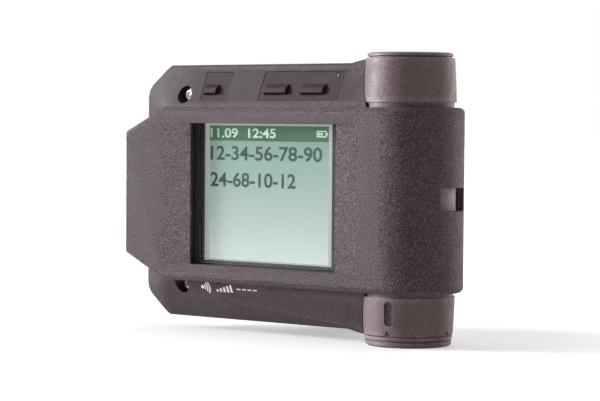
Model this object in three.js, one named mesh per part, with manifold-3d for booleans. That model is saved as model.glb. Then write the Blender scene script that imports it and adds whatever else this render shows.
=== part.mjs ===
// A rugged one-way pager in its slide-on belt holster.
//
// The pager is a flat casing with an eight-sided front and sloping margins, joined to an upright battery tube
// that is also its grip. A textured C-shaped holster slides over the tube and the casing from the tube's side,
// and carries a swivelling spring clip on its back.
//
// Millimetres, +Z up, as the pager stands on its battery cap. Everything is laid out from the tube's axis, with
// X to the casing's right, Y into its depth and Z up from the cap; the last lines move the whole to its origin.

import * as THREE from "three";
import { ConvexGeometry } from "three/addons/geometries/ConvexGeometry.js";
import { mergeVertices } from "three/addons/utils/BufferGeometryUtils.js";
import Module from "manifold-3d";

const wasm = await Module();
wasm.setup();

// ---------------------------------------------------------------- driving dimensions

const GAP = 0.3; // between neighbours that touch on the real pager
const SLIDING_GAP = 0.25; // between the tube and the holster that slides over it
const PIN_GAP = 0.08; // round a pin or shaft that turns

// battery tube and its two ends
const TUBE_HEIGHT = 61; // over both end caps
const TUBE_RADIUS = 9.7;
const TUBE_END_RADIUS = 9.3; // where the tube tapers to its caps
const TUBE_TAPER = 9; // height of each taper
const TUBE_BORE = 7.5;
const TOP_CAP_HEIGHT = 1.1;
const CAP_RIM_HEIGHT = 2.25; // of the battery cap, below the tube
const CAP_RIM_RADIUS = 9.15;
const CAP_PLUG_RADIUS = 7.2;
const CAP_PLUG_HEIGHT = 4.2;
const CAP_CUP_RADIUS = 5.4;
const COIN_SLOT = [11, 1.8, 0.9]; // length, width, depth
const LUG_BAND = [4.9, 5.9]; // heights between which the bayonet lugs stand
const LUG_REACH = 8.2;
const SEAL_HEIGHT = 3.6; // of the cap's sealing ring
const SEAL_WIRE = 0.55;

// AA cell
const CELL_RADIUS = 7.1;
const CELL_LENGTH = 50.5; // over the button
const CELL_BUTTON = [2.6, 1.1]; // radius, height
const CELL_BOTTOM = 7.2;

// casing
const CASING_LEFT = -72.1;
const CASING_TOP = 58.9;
const CASING_BOTTOM = 2.8;
const CASING_CORNER = [6.8, 5.3]; // the cut-off corners of the left end, along X and Z
const CASING_HALF_DEPTH = 9.2;
const CASING_WALL = 1.8;
const CASING_RIGHT = -1; // inside the tube, whose outside then cuts it
const SHOULDER_X = -12.3; // where the casing starts to rise to the tube's ends
const SHOULDER_RISE_X = -8.6;
const SHOULDER_RISE = 0.9;
const MARGIN_SLOPE = Math.tan(THREE.MathUtils.degToRad(22.5)); // upper and lower margins fall back
const MARGIN_HEIGHT = 10.4; // of each sloping margin
const END_SLOPE = 0.43; // the left end falls back as well
const END_WIDTH = 9.8;
const PARTING_Y = -5.1; // front shell in front of it, rear shell behind
const SEAL_GROOVE = { from: 0.85, to: 1.45, depth: 0.8, gap: 0.1 }; // in the rear shell's rim

// display
const LENS = { x: [-52.2, -12.2], z: [14.0, 47.1], y: [-8.75, -8.2] };
const LENS_SEAL_DEPTH = 0.2;
const LENS_GAP = 0.12;
const VIEW = { x: [-50.5, -16.0], z: [15.6, 44.8] }; // what shows of the panel
const PANEL = { x: [-53, -14.4], z: [13.9, 47.2], y: [-6.9, -5.3] };
const FRAME_RIM = 0.8;
const FRAME_DEPTH = 3.4;

// keys, on the upper margin; each [centre in X, width]
const KEYS = { left: [-49.9, 3.9], middle: [-30.8, 6.4], right: [-20.4, 6.4] };
const KEY_ROW = 5.2; // up the slope from the crease
const KEY_HEIGHT = 2.1;
const KEY_PROUD = 0.9;
const KEY_TRAVEL = 0.5;
const MAT_ROW = [2.7, 9.5]; // the mats' lower and upper edges, up the slope
const MAT_LEFT = [-52.9, -45.0];
const MAT_RIGHT = [-35.6, -13.0];
const MAT_THICKNESS = 1.6;
const MAT_SUNK = 0.15;
const SWITCH_SIZE = [3.2, 1.0, 3.0];
const KEY_BOARD_DEPTH = 4.7; // its front face, below the margin's skin
const KEY_BOARD_THICKNESS = 0.8;
const LED_AT = [-14.6, 8.6]; // across, and up the slope
const LED_RADIUS = 0.55;
const LED_LENGTH = 1.6;

// screws through the front shell
const SCREWS = { upper: [-57.9, 52.3], lower: [-57.9, 10.2] };
const SCREW_HOLE_RADIUS = 2.0;
const SCREW_HEAD = { radius: 1.35, height: 0.95, y: -6.3 };
const POST_END_Y = -4.4; // where the front shell's screw posts meet the rear shell's
const SCREW_SHANK = { radius: 0.8, length: 9 };
const POST_RADIUS = 2.9;
const BOSS_RADIUS = 2.4;

// inside
const BOARD_Y = [-1.9, -0.7];
const BOARD_INSET = 0.7;
const SPEAKER = { x: -54.6, z: 38.5, radius: 7.5, depth: 3.4 };
const GRILLE_SLOTS = 5;
const GRILLE_PITCH = 2.2;
const GRILLE_SLOT = [1.0, 4.0]; // width, height
const MOTOR = { x: -62, y: 3.2, z: 18.5, radius: 2.2, length: 9 };
const WEIGHT = { radius: 2.9, length: 3.2, gap: 0.6 };
const ANTENNA = { x: [-46, -20], z: [17, 40], depth: 5, strip: 0.6, feed: 4 };
const SHIELD = { x: [-40, -28], z: [43, 53], depth: 2.2 };
const CONTACTS = { x: [-46, -41, -36], radius: 1.1, proud: 0.15, length: 2.3 };

// holster
const HOLSTER_WALL = 1.45;
const HOLSTER_Z = [11.1, 49.6];
const HOLSTER_LEFT = -73.6;
const HOLSTER_CORNER = [12, 5.6];
const WINDOW = { x: [-53, -11.2], z: [15.0, 46.0] };
const RELIEF_DEPTH = 0.65; // of the dished faces on both sides of the window
const RELIEF_LEFT = -62;
const RELIEF_RIGHT = -4.5;
const NOTCH = { from: 73, to: 131, z: [28.2, 33.0] }; // degrees round the tube from its front

// belt clip on the holster's back
const CLIP_X = -32;
const CLIP_Z = 30.5;
const SEAT = { radius: 12.5, height: 0.8 };
const WASHER = { radius: 10, bore: 3.2, thickness: 0.25 };
const STUD = { radius: 2.6, head: 5, headHeight: 1.0, foot: 4, footHeight: 0.45 };
const BASE = { width: 24, z: [12.5, 50], thickness: 2.2, corner: 4 };
const BELT_GAP = 5;
const LEVER = { width: 22, z: [3, 53], thickness: 2, corner: 5 };
const LEVER_HOOK = 2.6; // height of the lip at its foot
const PIVOT_Z = 45.5;
const PIN_RADIUS = 1.0;
const EAR = { radius: 2.2, base: 2.2, lever: 2.0 };
const SPRING_RADIUS = [1.5, 2.2];

// ---------------------------------------------------------------- materials

const paint = (color, roughness, metalness = 0) =>
  new THREE.MeshStandardMaterial({ color, roughness, metalness });

const CASING_PLASTIC = paint(0x4c474b, 0.55);
const TUBE_PLASTIC = paint(0x554e52, 0.6);
const HOLSTER_PLASTIC = paint(0x5a5459, 0.8);
const KEY_RUBBER = paint(0x463d42, 0.7);
const SEAL_RUBBER = paint(0x1a1a1b, 0.8);
const SEAL_GREY = paint(0xb9c0ba, 0.6);
const CLEAR = paint(0xe6efe9, 0.05);
const PANEL_GLASS = paint(0xa9c7b6, 0.15);
const WHITE_PLASTIC = paint(0xe8e8e2, 0.5);
const BOARD_GREEN = paint(0x1d5b3a, 0.5);
const STEEL = paint(0xc4c4c2, 0.3, 1);
const BRASS = paint(0xd8b35a, 0.3, 1);
const COPPER = paint(0xc9825a, 0.35, 1);
const TIN = paint(0xb9bcbd, 0.4, 1);
const CELL_SLEEVE = paint(0x2f5d8a, 0.35);
const BLACK_PLASTIC = paint(0x2a282a, 0.6);

// ---------------------------------------------------------------- solids

// A closed geometry as a manifold-3d solid, and back.
function solid(geometry) {
  const bare = geometry.clone();
  bare.deleteAttribute("normal");
  bare.deleteAttribute("uv");
  const merged = mergeVertices(bare, 1e-4);
  return new wasm.Manifold(
    new wasm.Mesh({
      numProp: 3,
      vertProperties: merged.attributes.position.array,
      triVerts: new Uint32Array(merged.index.array),
    }),
  );
}

function geometryOf(made) {
  const { vertProperties, triVerts } = made.getMesh();
  return new THREE.BufferGeometry()
    .setAttribute("position", new THREE.BufferAttribute(vertProperties, 3))
    .setIndex(new THREE.BufferAttribute(triVerts, 1))
    .toNonIndexed();
}

const joined = (first, ...others) => others.reduce((all, one) => all.add(one), first);
const cut = (first, ...others) => others.reduce((left, one) => left.subtract(one), first);

// A box between two values on each axis.
function block([x0, x1], [y0, y1], [z0, z1]) {
  return solid(
    new THREE.BoxGeometry(x1 - x0, y1 - y0, z1 - z0).translate((x0 + x1) / 2, (y0 + y1) / 2, (z0 + z1) / 2),
  );
}

const shapeOf = (points) => new THREE.Shape(points.map(([u, v]) => new THREE.Vector2(u, v)));

// An outline in X and Z, given depth along Y.
function slab(shape, [y0, y1], curveSegments = 6) {
  const outline = shape instanceof THREE.Shape ? shape : shapeOf(shape);
  return solid(
    new THREE.ExtrudeGeometry(outline, { depth: y1 - y0, bevelEnabled: false, curveSegments })
      .rotateX(Math.PI / 2)
      .translate(0, y1, 0),
  );
}

// An outline in X and Y, given height along Z.
function column(shape, [z0, z1], curveSegments = 16) {
  const outline = shape instanceof THREE.Shape ? shape : shapeOf(shape);
  return solid(
    new THREE.ExtrudeGeometry(outline, { depth: z1 - z0, bevelEnabled: false, curveSegments })
      .translate(0, 0, z0),
  );
}

// A rectangle in X and Z with round corners.
function roundedRectangle([x0, x1], [z0, z1], r) {
  return new THREE.Shape()
    .moveTo(x0 + r, z0)
    .lineTo(x1 - r, z0)
    .absarc(x1 - r, z0 + r, r, -Math.PI / 2, 0)
    .lineTo(x1, z1 - r)
    .absarc(x1 - r, z1 - r, r, 0, Math.PI / 2)
    .lineTo(x0 + r, z1)
    .absarc(x0 + r, z1 - r, r, Math.PI / 2, Math.PI)
    .lineTo(x0, z0 + r)
    .absarc(x0 + r, z0 + r, r, Math.PI, 1.5 * Math.PI);
}

// A profile of [radius, height] points, listed anticlockwise, turned about the Z axis.
function turned(profile, segments = 40) {
  const points = [...profile, profile[0]].map(([r, z]) => new THREE.Vector2(r, z));
  return solid(new THREE.LatheGeometry(points, segments).rotateX(Math.PI / 2));
}

// A round bar along one axis, starting at a point.
function bar(axis, radius, [x, y, z], length, segments = 24) {
  const made = new THREE.CylinderGeometry(radius, radius, length, segments).translate(0, length / 2, 0);
  if (axis === "x") made.rotateZ(-Math.PI / 2);
  if (axis === "z") made.rotateX(Math.PI / 2);
  return solid(made.translate(x, y, z));
}

const widened = ([low, high], by) => [low - by, high + by];
const around = (centre, size) => [centre - size / 2, centre + size / 2];

// ---------------------------------------------------------------- the assembly's group

const pager = new THREE.Group();

function place(name, made, material, parent = pager) {
  const mesh = new THREE.Mesh(geometryOf(made), material);
  mesh.name = name;
  parent.add(mesh);
  return mesh;
}

// ---------------------------------------------------------------- casing shape

// The casing seen from the front, moved inwards by inset, with cut-off corners at its left end.
function casingOutline(inset = 0) {
  const [cx, cz] = CASING_CORNER;
  const turn = Math.atan2(cz, cx);
  const along = inset * Math.tan(turn / 2);
  const down = inset * Math.tan((Math.PI / 2 - turn) / 2);
  const bottom = CASING_BOTTOM + inset;
  const top = CASING_TOP - inset;
  return [
    [CASING_LEFT + inset, CASING_BOTTOM + cz + down],
    [CASING_LEFT + cx + along, bottom],
    [CASING_RIGHT, bottom],
    [CASING_RIGHT, top],
    [CASING_LEFT + cx + along, top],
    [CASING_LEFT + inset, CASING_TOP - cz - down],
  ];
}

const MARGIN_ANGLE = Math.atan(MARGIN_SLOPE);
const CREASE_TOP = CASING_TOP - MARGIN_HEIGHT;
const CREASE_BOTTOM = CASING_BOTTOM + MARGIN_HEIGHT - 0.7;
const CREASE_LEFT = CASING_LEFT + END_WIDTH;

// The convex solid round a list of points.
const hull = (points) => solid(new ConvexGeometry(points.map((point) => new THREE.Vector3(...point))));

// The casing's skin at a height on its sloping margins, as a distance from its middle.
function marginDepth(z, inset = 0) {
  const shift = inset * Math.tan(MARGIN_ANGLE / 2);
  const past = Math.max(0, z - CREASE_TOP + shift, CREASE_BOTTOM + shift - z);
  return CASING_HALF_DEPTH - inset - past * MARGIN_SLOPE;
}

// The casing without its shoulders, moved inwards by inset: a flat face with margins that fall back to the
// outline all round, on the front and on the back alike.
function casingBlock(inset) {
  const outline = casingOutline(inset);
  const end = Math.atan(END_SLOPE) / 2;
  const creaseX = CREASE_LEFT + inset * Math.tan(end);
  const endDepth = CASING_HALF_DEPTH - inset - (creaseX - CASING_LEFT - inset) * END_SLOPE;
  const shift = inset * Math.tan(MARGIN_ANGLE / 2);
  const points = [];
  for (const side of [-1, 1]) {
    for (const x of [creaseX, CASING_RIGHT])
      for (const z of [CREASE_BOTTOM + shift, CREASE_TOP - shift])
        points.push([x, side * (CASING_HALF_DEPTH - inset), z]);
    for (const [x, z] of outline)
      points.push([x, side * (x === outline[0][0] ? endDepth : marginDepth(z, inset)), z]);
  }
  return hull(points);
}

// Where the casing rises to meet the tube's ends, above (side 1) and below (side -1).
function shoulder(side) {
  const edge = side > 0 ? CASING_TOP : CASING_BOTTOM;
  const tip = edge + side * SHOULDER_RISE;
  const root = edge - side * CASING_WALL;
  const corners = [[SHOULDER_X, edge], [SHOULDER_RISE_X, tip], [CASING_RIGHT, tip], [SHOULDER_X, root],
    [CASING_RIGHT, root]];
  return hull(corners.flatMap(([x, z]) => [[x, -marginDepth(z), z], [x, marginDepth(z), z]]));
}

// The tube's outside from the battery cap to the top cap, grown by a gap.
const TUBE_Z = [CAP_RIM_HEIGHT + 0.1, TUBE_HEIGHT - TOP_CAP_HEIGHT];
function tubeOutside(gap = 0) {
  const [low, high] = widened(TUBE_Z, gap);
  return [
    [TUBE_END_RADIUS + gap, low],
    [TUBE_RADIUS + gap, low + TUBE_TAPER],
    [TUBE_RADIUS + gap, high - TUBE_TAPER],
    [TUBE_END_RADIUS + gap, high],
  ];
}
const tubeRoom = turned([[0, -1], [TUBE_END_RADIUS + 0.15, -1], ...tubeOutside(0.15),
  [TUBE_END_RADIUS + 0.15, TUBE_HEIGHT + 1], [0, TUBE_HEIGHT + 1]], 64);

// What lies on the upper margin is laid out flat and then tilted: x across, z up the slope from the crease,
// and y below the skin.
const margin = new THREE.Group();
margin.position.set(0, -CASING_HALF_DEPTH, CREASE_TOP);
margin.rotation.x = -MARGIN_ANGLE;
margin.updateMatrix();
pager.add(margin);

// A solid made in the margin's flat layout, as it stands on the pager.
function tilted(made) {
  return solid(geometryOf(made).applyMatrix4(margin.matrix));
}

// ---------------------------------------------------------------- casing

const wall = cut(joined(cut(casingBlock(0), casingBlock(CASING_WALL)), shoulder(1), shoulder(-1)), tubeRoom);
const inFront = block([-90, 20], [-20, PARTING_Y], [-10, 80]);
const behind = block([-90, 20], [PARTING_Y, 20], [-10, 80]);
const skinAt = (z) => -marginDepth(z);

// Room for the rubber mats through the upper margin's skin.
const matRooms = () => [MAT_LEFT, MAT_RIGHT].map((x) => tilted(block(x, [-2, 4], MAT_ROW)));

function frontShell() {
  const sealFloor = LENS.y[1] + LENS_SEAL_DEPTH + LENS_GAP;
  const lensPocket = block(widened(LENS.x, LENS_GAP), [-CASING_HALF_DEPTH - 1, sealFloor], widened(LENS.z, LENS_GAP));
  const view = block(VIEW.x, [-CASING_HALF_DEPTH, PARTING_Y], VIEW.z);
  const screwPosts = Object.values(SCREWS).map(([x, z]) =>
    bar("y", POST_RADIUS, [x, skinAt(z) + 0.9, z], POST_END_Y - skinAt(z) - 0.9).intersect(casingBlock(0.5)));
  const headRooms = Object.values(SCREWS).map(([x, z]) =>
    bar("y", SCREW_HOLE_RADIUS, [x, -20, z], 20 + SCREW_HEAD.y + SCREW_HEAD.height));
  const shankHoles = Object.values(SCREWS).map(([x, z]) =>
    bar("y", SCREW_SHANK.radius + GAP, [x, -20, z], 20));
  const skin = joined(wall.intersect(inFront), ...screwPosts);
  return cut(skin, lensPocket, view, ...matRooms(), ...headRooms, ...shankHoles);
}

// The seal between the shells runs along the middle of their rims.
const rimBand = (from, to, y) => cut(slab(casingOutline(from), y), slab(casingOutline(to), widened(y, 1)));
const { from: GROOVE_OUTSIDE, to: GROOVE_INSIDE, depth: GROOVE_DEPTH, gap: GROOVE_GAP } = SEAL_GROOVE;
const gasketGroove = () => rimBand(GROOVE_OUTSIDE, GROOVE_INSIDE, [PARTING_Y - 1, PARTING_Y + GROOVE_DEPTH]);
const casingGasket = () =>
  cut(rimBand(GROOVE_OUTSIDE + GROOVE_GAP, GROOVE_INSIDE - GROOVE_GAP,
    [PARTING_Y + 0.02, PARTING_Y + GROOVE_DEPTH - GROOVE_GAP]), tubeRoom);

function rearShell() {
  const bosses = Object.values(SCREWS).map(([x, z]) =>
    bar("y", BOSS_RADIUS, [x, POST_END_Y + 0.1, z], 2 * CASING_HALF_DEPTH).intersect(casingBlock(0.5)));
  const postRooms = Object.values(SCREWS).map(([x, z]) =>
    bar("y", POST_RADIUS + 0.15, [x, PARTING_Y - 1, z], POST_END_Y - PARTING_Y + 1.05));
  const pilots = Object.values(SCREWS).map(([x, z]) =>
    bar("y", SCREW_SHANK.radius + 0.1, [x, POST_END_Y - 1, z], SCREW_SHANK.length));
  const slots = Array.from({ length: GRILLE_SLOTS }, (_, i) => {
    const x = SPEAKER.x + (i - (GRILLE_SLOTS - 1) / 2) * GRILLE_PITCH;
    return block(around(x, GRILLE_SLOT[0]), [3, 12], [HOLSTER_Z[1] + 0.8, HOLSTER_Z[1] + 0.8 + GRILLE_SLOT[1]]);
  });
  const contactHoles = CONTACTS.x.map((x) => bar("z", CONTACTS.radius + PIN_GAP, [x, 0, -2], 9));
  return cut(joined(cut(wall.intersect(behind), ...postRooms), ...bosses), ...pilots, ...slots, ...contactHoles,
    ...matRooms(), gasketGroove());
}

function buildCasing() {
  place("front_shell", frontShell(), CASING_PLASTIC);
  place("rear_shell", rearShell(), CASING_PLASTIC);
  place("casing_gasket", casingGasket(), SEAL_RUBBER);
  for (const [where, [x, z]] of Object.entries(SCREWS)) {
    const { radius, height, y } = SCREW_HEAD;
    const head = bar("y", radius, [x, y, z], height);
    const shank = bar("y", SCREW_SHANK.radius, [x, y + height - 0.1, z], SCREW_SHANK.length, 16);
    const socket = bar("y", 0.6, [x, y - 1, z], 1.6, 6);
    place(`casing_screw_${where}`, cut(joined(head, shank), socket), STEEL);
  }
  CONTACTS.x.forEach((x, i) => {
    const stud = bar("z", CONTACTS.radius, [x, 0, CASING_BOTTOM - CONTACTS.proud], CONTACTS.length, 20);
    place(`charging_contact_${i + 1}`, stud, BRASS);
  });
}

// ---------------------------------------------------------------- display

function buildDisplay() {
  place("display_lens", block(LENS.x, LENS.y, LENS.z), CLEAR);
  const sealY = [LENS.y[1] + 0.04, LENS.y[1] + LENS_SEAL_DEPTH];
  place("lens_seal", cut(block(LENS.x, sealY, LENS.z), block(VIEW.x, widened(sealY, 1), VIEW.z)), SEAL_GREY);

  const [front, back] = PANEL.y;
  place("display_panel", block(PANEL.x, PANEL.y, PANEL.z), PANEL_GLASS);
  const frameX = widened(PANEL.x, FRAME_RIM);
  const frameZ = widened(PANEL.z, FRAME_RIM);
  const tray = block(frameX, [front, front + FRAME_DEPTH], frameZ);
  const trayRoom = block(widened(PANEL.x, 0.1), [front - 1, front + FRAME_DEPTH - 0.6], widened(PANEL.z, 0.1));
  place("display_frame", cut(tray, trayRoom), WHITE_PLASTIC);
  place("backlight_guide", block(PANEL.x, [back + 0.1, front + FRAME_DEPTH - 0.7], PANEL.z), CLEAR);
  const ribbonX = around((PANEL.x[0] + PANEL.x[1]) / 2, 14);
  const ribbonZ = [frameZ[0] - 0.5, frameZ[0] - 0.25];
  place("display_ribbon", block(ribbonX, [front + 0.4, BOARD_Y[0] - 0.1], ribbonZ), COPPER);
}

// ---------------------------------------------------------------- keys

function buildKeys() {
  const row = around(KEY_ROW, KEY_HEIGHT);
  const matY = [MAT_SUNK, MAT_SUNK + MAT_THICKNESS];
  const keyRooms = Object.values(KEYS).map(([x, width]) =>
    block(around(x, width + 2 * PIN_GAP + 0.2), [-2, 4], widened(row, PIN_GAP + 0.1)));
  const ledRoom = bar("y", LED_RADIUS + 0.1, [LED_AT[0], -2, LED_AT[1]], 6, 16);
  const mat = (x) => block(widened(x, -GAP / 2), matY, widened(MAT_ROW, -GAP / 2));
  place("keypad_mat_left", cut(mat(MAT_LEFT), keyRooms[0]), KEY_RUBBER, margin);
  place("keypad_mat_right", cut(mat(MAT_RIGHT), keyRooms[1], keyRooms[2], ledRoom), KEY_RUBBER, margin);
  place("status_light_pipe", bar("y", LED_RADIUS, [LED_AT[0], 0, LED_AT[1]], LED_LENGTH, 16), CLEAR, margin);

  const switchTop = KEY_BOARD_DEPTH - SWITCH_SIZE[1];
  const boardX = [MAT_LEFT[0] + 1, MAT_RIGHT[1] - 1];
  const boardY = [KEY_BOARD_DEPTH, KEY_BOARD_DEPTH + KEY_BOARD_THICKNESS];
  place("key_board", block(boardX, boardY, around(KEY_ROW, 4.4)), BOARD_GREEN, margin);
  for (const [side, [x, width]] of Object.entries(KEYS)) {
    const stemEnd = switchTop - KEY_TRAVEL - 0.1;
    const cap = block(around(x, width), [-KEY_PROUD, MAT_THICKNESS + MAT_SUNK], row);
    const stem = block(around(x, 2), [MAT_THICKNESS, stemEnd], around(KEY_ROW, 1.6));
    place(`key_${side}`, joined(cap, stem), KEY_RUBBER, margin);
    const [w, d, h] = SWITCH_SIZE;
    const body = block(around(x, w), [switchTop + 0.3, switchTop + d - 0.02], around(KEY_ROW, h));
    const dome = bar("y", 0.9, [x, switchTop, KEY_ROW], 0.4, 16);
    place(`key_switch_${side}`, joined(body, dome), TIN, margin);
  }
}

// ---------------------------------------------------------------- electronics inside the casing

function buildElectronics() {
  const bosses = Object.values(SCREWS).map(([x, z]) => bar("y", BOSS_RADIUS + GAP, [x, -10, z], 20));
  const tubeSide = turned([[0, -1], [TUBE_RADIUS + 1, -1], [TUBE_RADIUS + 1, 80], [0, 80]]);
  const keyRoom = tilted(block([-56, -10], [-5, KEY_BOARD_DEPTH + KEY_BOARD_THICKNESS + 0.4], [-0.5, 12]));
  const outline = slab(casingOutline(CASING_WALL + BOARD_INSET), BOARD_Y);
  place("main_board", cut(outline, ...bosses, tubeSide, keyRoom), BOARD_GREEN);

  const behindBoard = BOARD_Y[1] + 0.02;
  place("shield_can", block(SHIELD.x, [behindBoard, behindBoard + SHIELD.depth], SHIELD.z), TIN);

  const { x, z, depth, strip, feed } = ANTENNA;
  const loopY = [behindBoard, behindBoard + depth];
  const loop = cut(block(x, loopY, z), block(widened(x, -strip), widened(loopY, 1), widened(z, -strip)));
  const feedGap = block(around(x[1] - 6, feed), widened(loopY, 1), [z[0] - 1, z[0] + 1]);
  place("loop_antenna", cut(loop, feedGap), COPPER);

  const rearInside = CASING_HALF_DEPTH - CASING_WALL;
  const { radius, depth: thick } = SPEAKER;
  const back = rearInside - 0.7;
  const basket = bar("y", radius, [SPEAKER.x, back - thick, SPEAKER.z], thick, 36);
  const coneRoom = bar("y", radius - 1, [SPEAKER.x, back - 0.8, SPEAKER.z], 2, 36);
  const magnetCap = bar("y", 2.4, [SPEAKER.x, back - 1, SPEAKER.z], 0.6);
  place("loudspeaker", joined(cut(basket, coneRoom), magnetCap), BLACK_PLASTIC);
  const ring = bar("y", radius, [SPEAKER.x, back + 0.05, SPEAKER.z], 0.5, 36);
  const ringRoom = bar("y", radius - 1, [SPEAKER.x, back - 1, SPEAKER.z], 3, 36);
  place("loudspeaker_seal", cut(ring, ringRoom), SEAL_RUBBER);

  const motorEnd = MOTOR.x + MOTOR.length;
  const can = bar("x", MOTOR.radius, [MOTOR.x, MOTOR.y, MOTOR.z], MOTOR.length);
  const shaft = bar("x", 0.4, [motorEnd - 0.5, MOTOR.y, MOTOR.z], WEIGHT.gap + WEIGHT.length + 0.5, 12);
  place("vibration_motor", joined(can, shaft), TIN);
  const start = motorEnd + WEIGHT.gap;
  const disc = bar("x", WEIGHT.radius, [start, MOTOR.y, MOTOR.z], WEIGHT.length);
  const upper = block([start - 1, start + 9], [-9, 9], [MOTOR.z + 0.9, MOTOR.z + 9]);
  const bore = bar("x", 0.4 + PIN_GAP, [start - 1, MOTOR.y, MOTOR.z], WEIGHT.length + 2, 12);
  place("eccentric_weight", cut(disc, upper, bore), STEEL);
}

// ---------------------------------------------------------------- battery tube

function buildTube() {
  const [low, high] = TUBE_Z;
  const lugRoom = [LUG_BAND[0] - 0.2, LUG_BAND[1] + 0.2];
  const wallProfile = [[TUBE_BORE, low], ...tubeOutside(), [TUBE_BORE, high],
    [TUBE_BORE, lugRoom[1]], [LUG_REACH + GAP, lugRoom[1]], [LUG_REACH + GAP, lugRoom[0]], [TUBE_BORE, lugRoom[0]]];
  const entry = block(widened([0, 0], LUG_REACH + GAP), widened([0, 0], 1.6), [low - 1, lugRoom[1]]);
  place("battery_tube", cut(turned(wallProfile, 64), entry), TUBE_PLASTIC);

  const capRadius = TUBE_END_RADIUS - 0.35;
  place("top_cap", turned([[0, high - 1.4], [TUBE_BORE - 0.15, high - 1.4], [TUBE_BORE - 0.15, high + 0.02],
    [capRadius - 0.4, high + 0.02], [capRadius - 0.4, high + 0.25], [capRadius, high + 0.4],
    [capRadius, TUBE_HEIGHT - 0.3], [capRadius - 0.5, TUBE_HEIGHT], [0, TUBE_HEIGHT]], 48), TUBE_PLASTIC);

  const plugTop = CAP_RIM_HEIGHT + CAP_PLUG_HEIGHT;
  const neck = CAP_RIM_RADIUS - 0.4;
  const sealSeat = CAP_PLUG_RADIUS - 2 * SEAL_WIRE + 0.2;
  const plug = turned([[0, 0], [CAP_RIM_RADIUS - 0.65, 0], [CAP_RIM_RADIUS - 0.15, 0.4],
    [CAP_RIM_RADIUS - 0.15, 1.15], [neck, 1.2], [neck, 1.45], [CAP_RIM_RADIUS, 1.5],
    [CAP_RIM_RADIUS, CAP_RIM_HEIGHT], [CAP_PLUG_RADIUS, CAP_RIM_HEIGHT],
    [CAP_PLUG_RADIUS, SEAL_HEIGHT - SEAL_WIRE], [sealSeat, SEAL_HEIGHT - SEAL_WIRE],
    [sealSeat, SEAL_HEIGHT + SEAL_WIRE], [CAP_PLUG_RADIUS, SEAL_HEIGHT + SEAL_WIRE],
    [CAP_PLUG_RADIUS, plugTop], [CAP_CUP_RADIUS, plugTop], [CAP_CUP_RADIUS, CAP_RIM_HEIGHT + 0.4],
    [0, CAP_RIM_HEIGHT + 0.4]], 48);
  const lugs = [-1, 1].map((side) =>
    block(side > 0 ? [CAP_PLUG_RADIUS - 0.5, LUG_REACH] : [-LUG_REACH, 0.5 - CAP_PLUG_RADIUS],
      widened([0, 0], 1.3), LUG_BAND));
  const [length, width, depth] = COIN_SLOT;
  const coinSlot = block(widened([0, 0], length / 2), widened([0, 0], width / 2), [-1, depth]);
  const turnedToLock = new THREE.Group();
  turnedToLock.rotation.z = Math.PI / 2;
  pager.add(turnedToLock);
  place("battery_cap", cut(joined(plug, ...lugs), coinSlot), TUBE_PLASTIC, turnedToLock);

  const ringCentre = sealSeat + 0.02 + SEAL_WIRE;
  const ringProfile = Array.from({ length: 8 }, (_, i) => {
    const angle = (i / 8) * 2 * Math.PI;
    return [ringCentre + (SEAL_WIRE - 0.05) * Math.cos(angle), SEAL_HEIGHT + (SEAL_WIRE - 0.05) * Math.sin(angle)];
  });
  place("cap_seal_ring", turned(ringProfile, 36), SEAL_RUBBER);

  const plateTop = CAP_RIM_HEIGHT + 0.8;
  place("cap_contact_plate", turned([[0, plateTop - 0.35], [CAP_CUP_RADIUS - 0.1, plateTop - 0.35],
    [CAP_CUP_RADIUS - 0.1, plateTop], [0, plateTop]], 32), BRASS);
  const springTop = CELL_BOTTOM - 0.05;
  place("battery_spring", turned([[3.2, plateTop + 0.02], [4.4, plateTop + 0.02], [3.0, springTop], [1.8, springTop]], 24),
    STEEL);

  const [button, buttonHeight] = CELL_BUTTON;
  const shoulder = CELL_BOTTOM + CELL_LENGTH - buttonHeight;
  place("aa_cell", turned([[0, CELL_BOTTOM], [CELL_RADIUS - 0.4, CELL_BOTTOM], [CELL_RADIUS, CELL_BOTTOM + 0.4],
    [CELL_RADIUS, shoulder - 0.5], [CELL_RADIUS - 0.6, shoulder], [button, shoulder],
    [button, shoulder + buttonHeight], [0, shoulder + buttonHeight]], 36), CELL_SLEEVE);
  const contactZ = [CELL_BOTTOM + CELL_LENGTH + 0.1, high - 1.45];
  place("positive_contact", turned([[0, contactZ[0]], [5.5, contactZ[0]], [5.5, contactZ[1]], [0, contactZ[1]]], 32),
    BRASS);
}

// ---------------------------------------------------------------- holster and belt clip

const HOLSTER_INSIDE = TUBE_RADIUS + SLIDING_GAP;
const HOLSTER_OUTSIDE = HOLSTER_INSIDE + HOLSTER_WALL;

// The holster's C seen from above: two plates tangent to a half ring.
function holsterSection() {
  return new THREE.Shape()
    .moveTo(HOLSTER_LEFT, -HOLSTER_OUTSIDE)
    .lineTo(0, -HOLSTER_OUTSIDE)
    .absarc(0, 0, HOLSTER_OUTSIDE, -Math.PI / 2, Math.PI / 2)
    .lineTo(HOLSTER_LEFT, HOLSTER_OUTSIDE)
    .lineTo(HOLSTER_LEFT, HOLSTER_INSIDE)
    .lineTo(0, HOLSTER_INSIDE)
    .absarc(0, 0, HOLSTER_INSIDE, Math.PI / 2, -Math.PI / 2, true)
    .lineTo(HOLSTER_LEFT, -HOLSTER_INSIDE);
}

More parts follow.
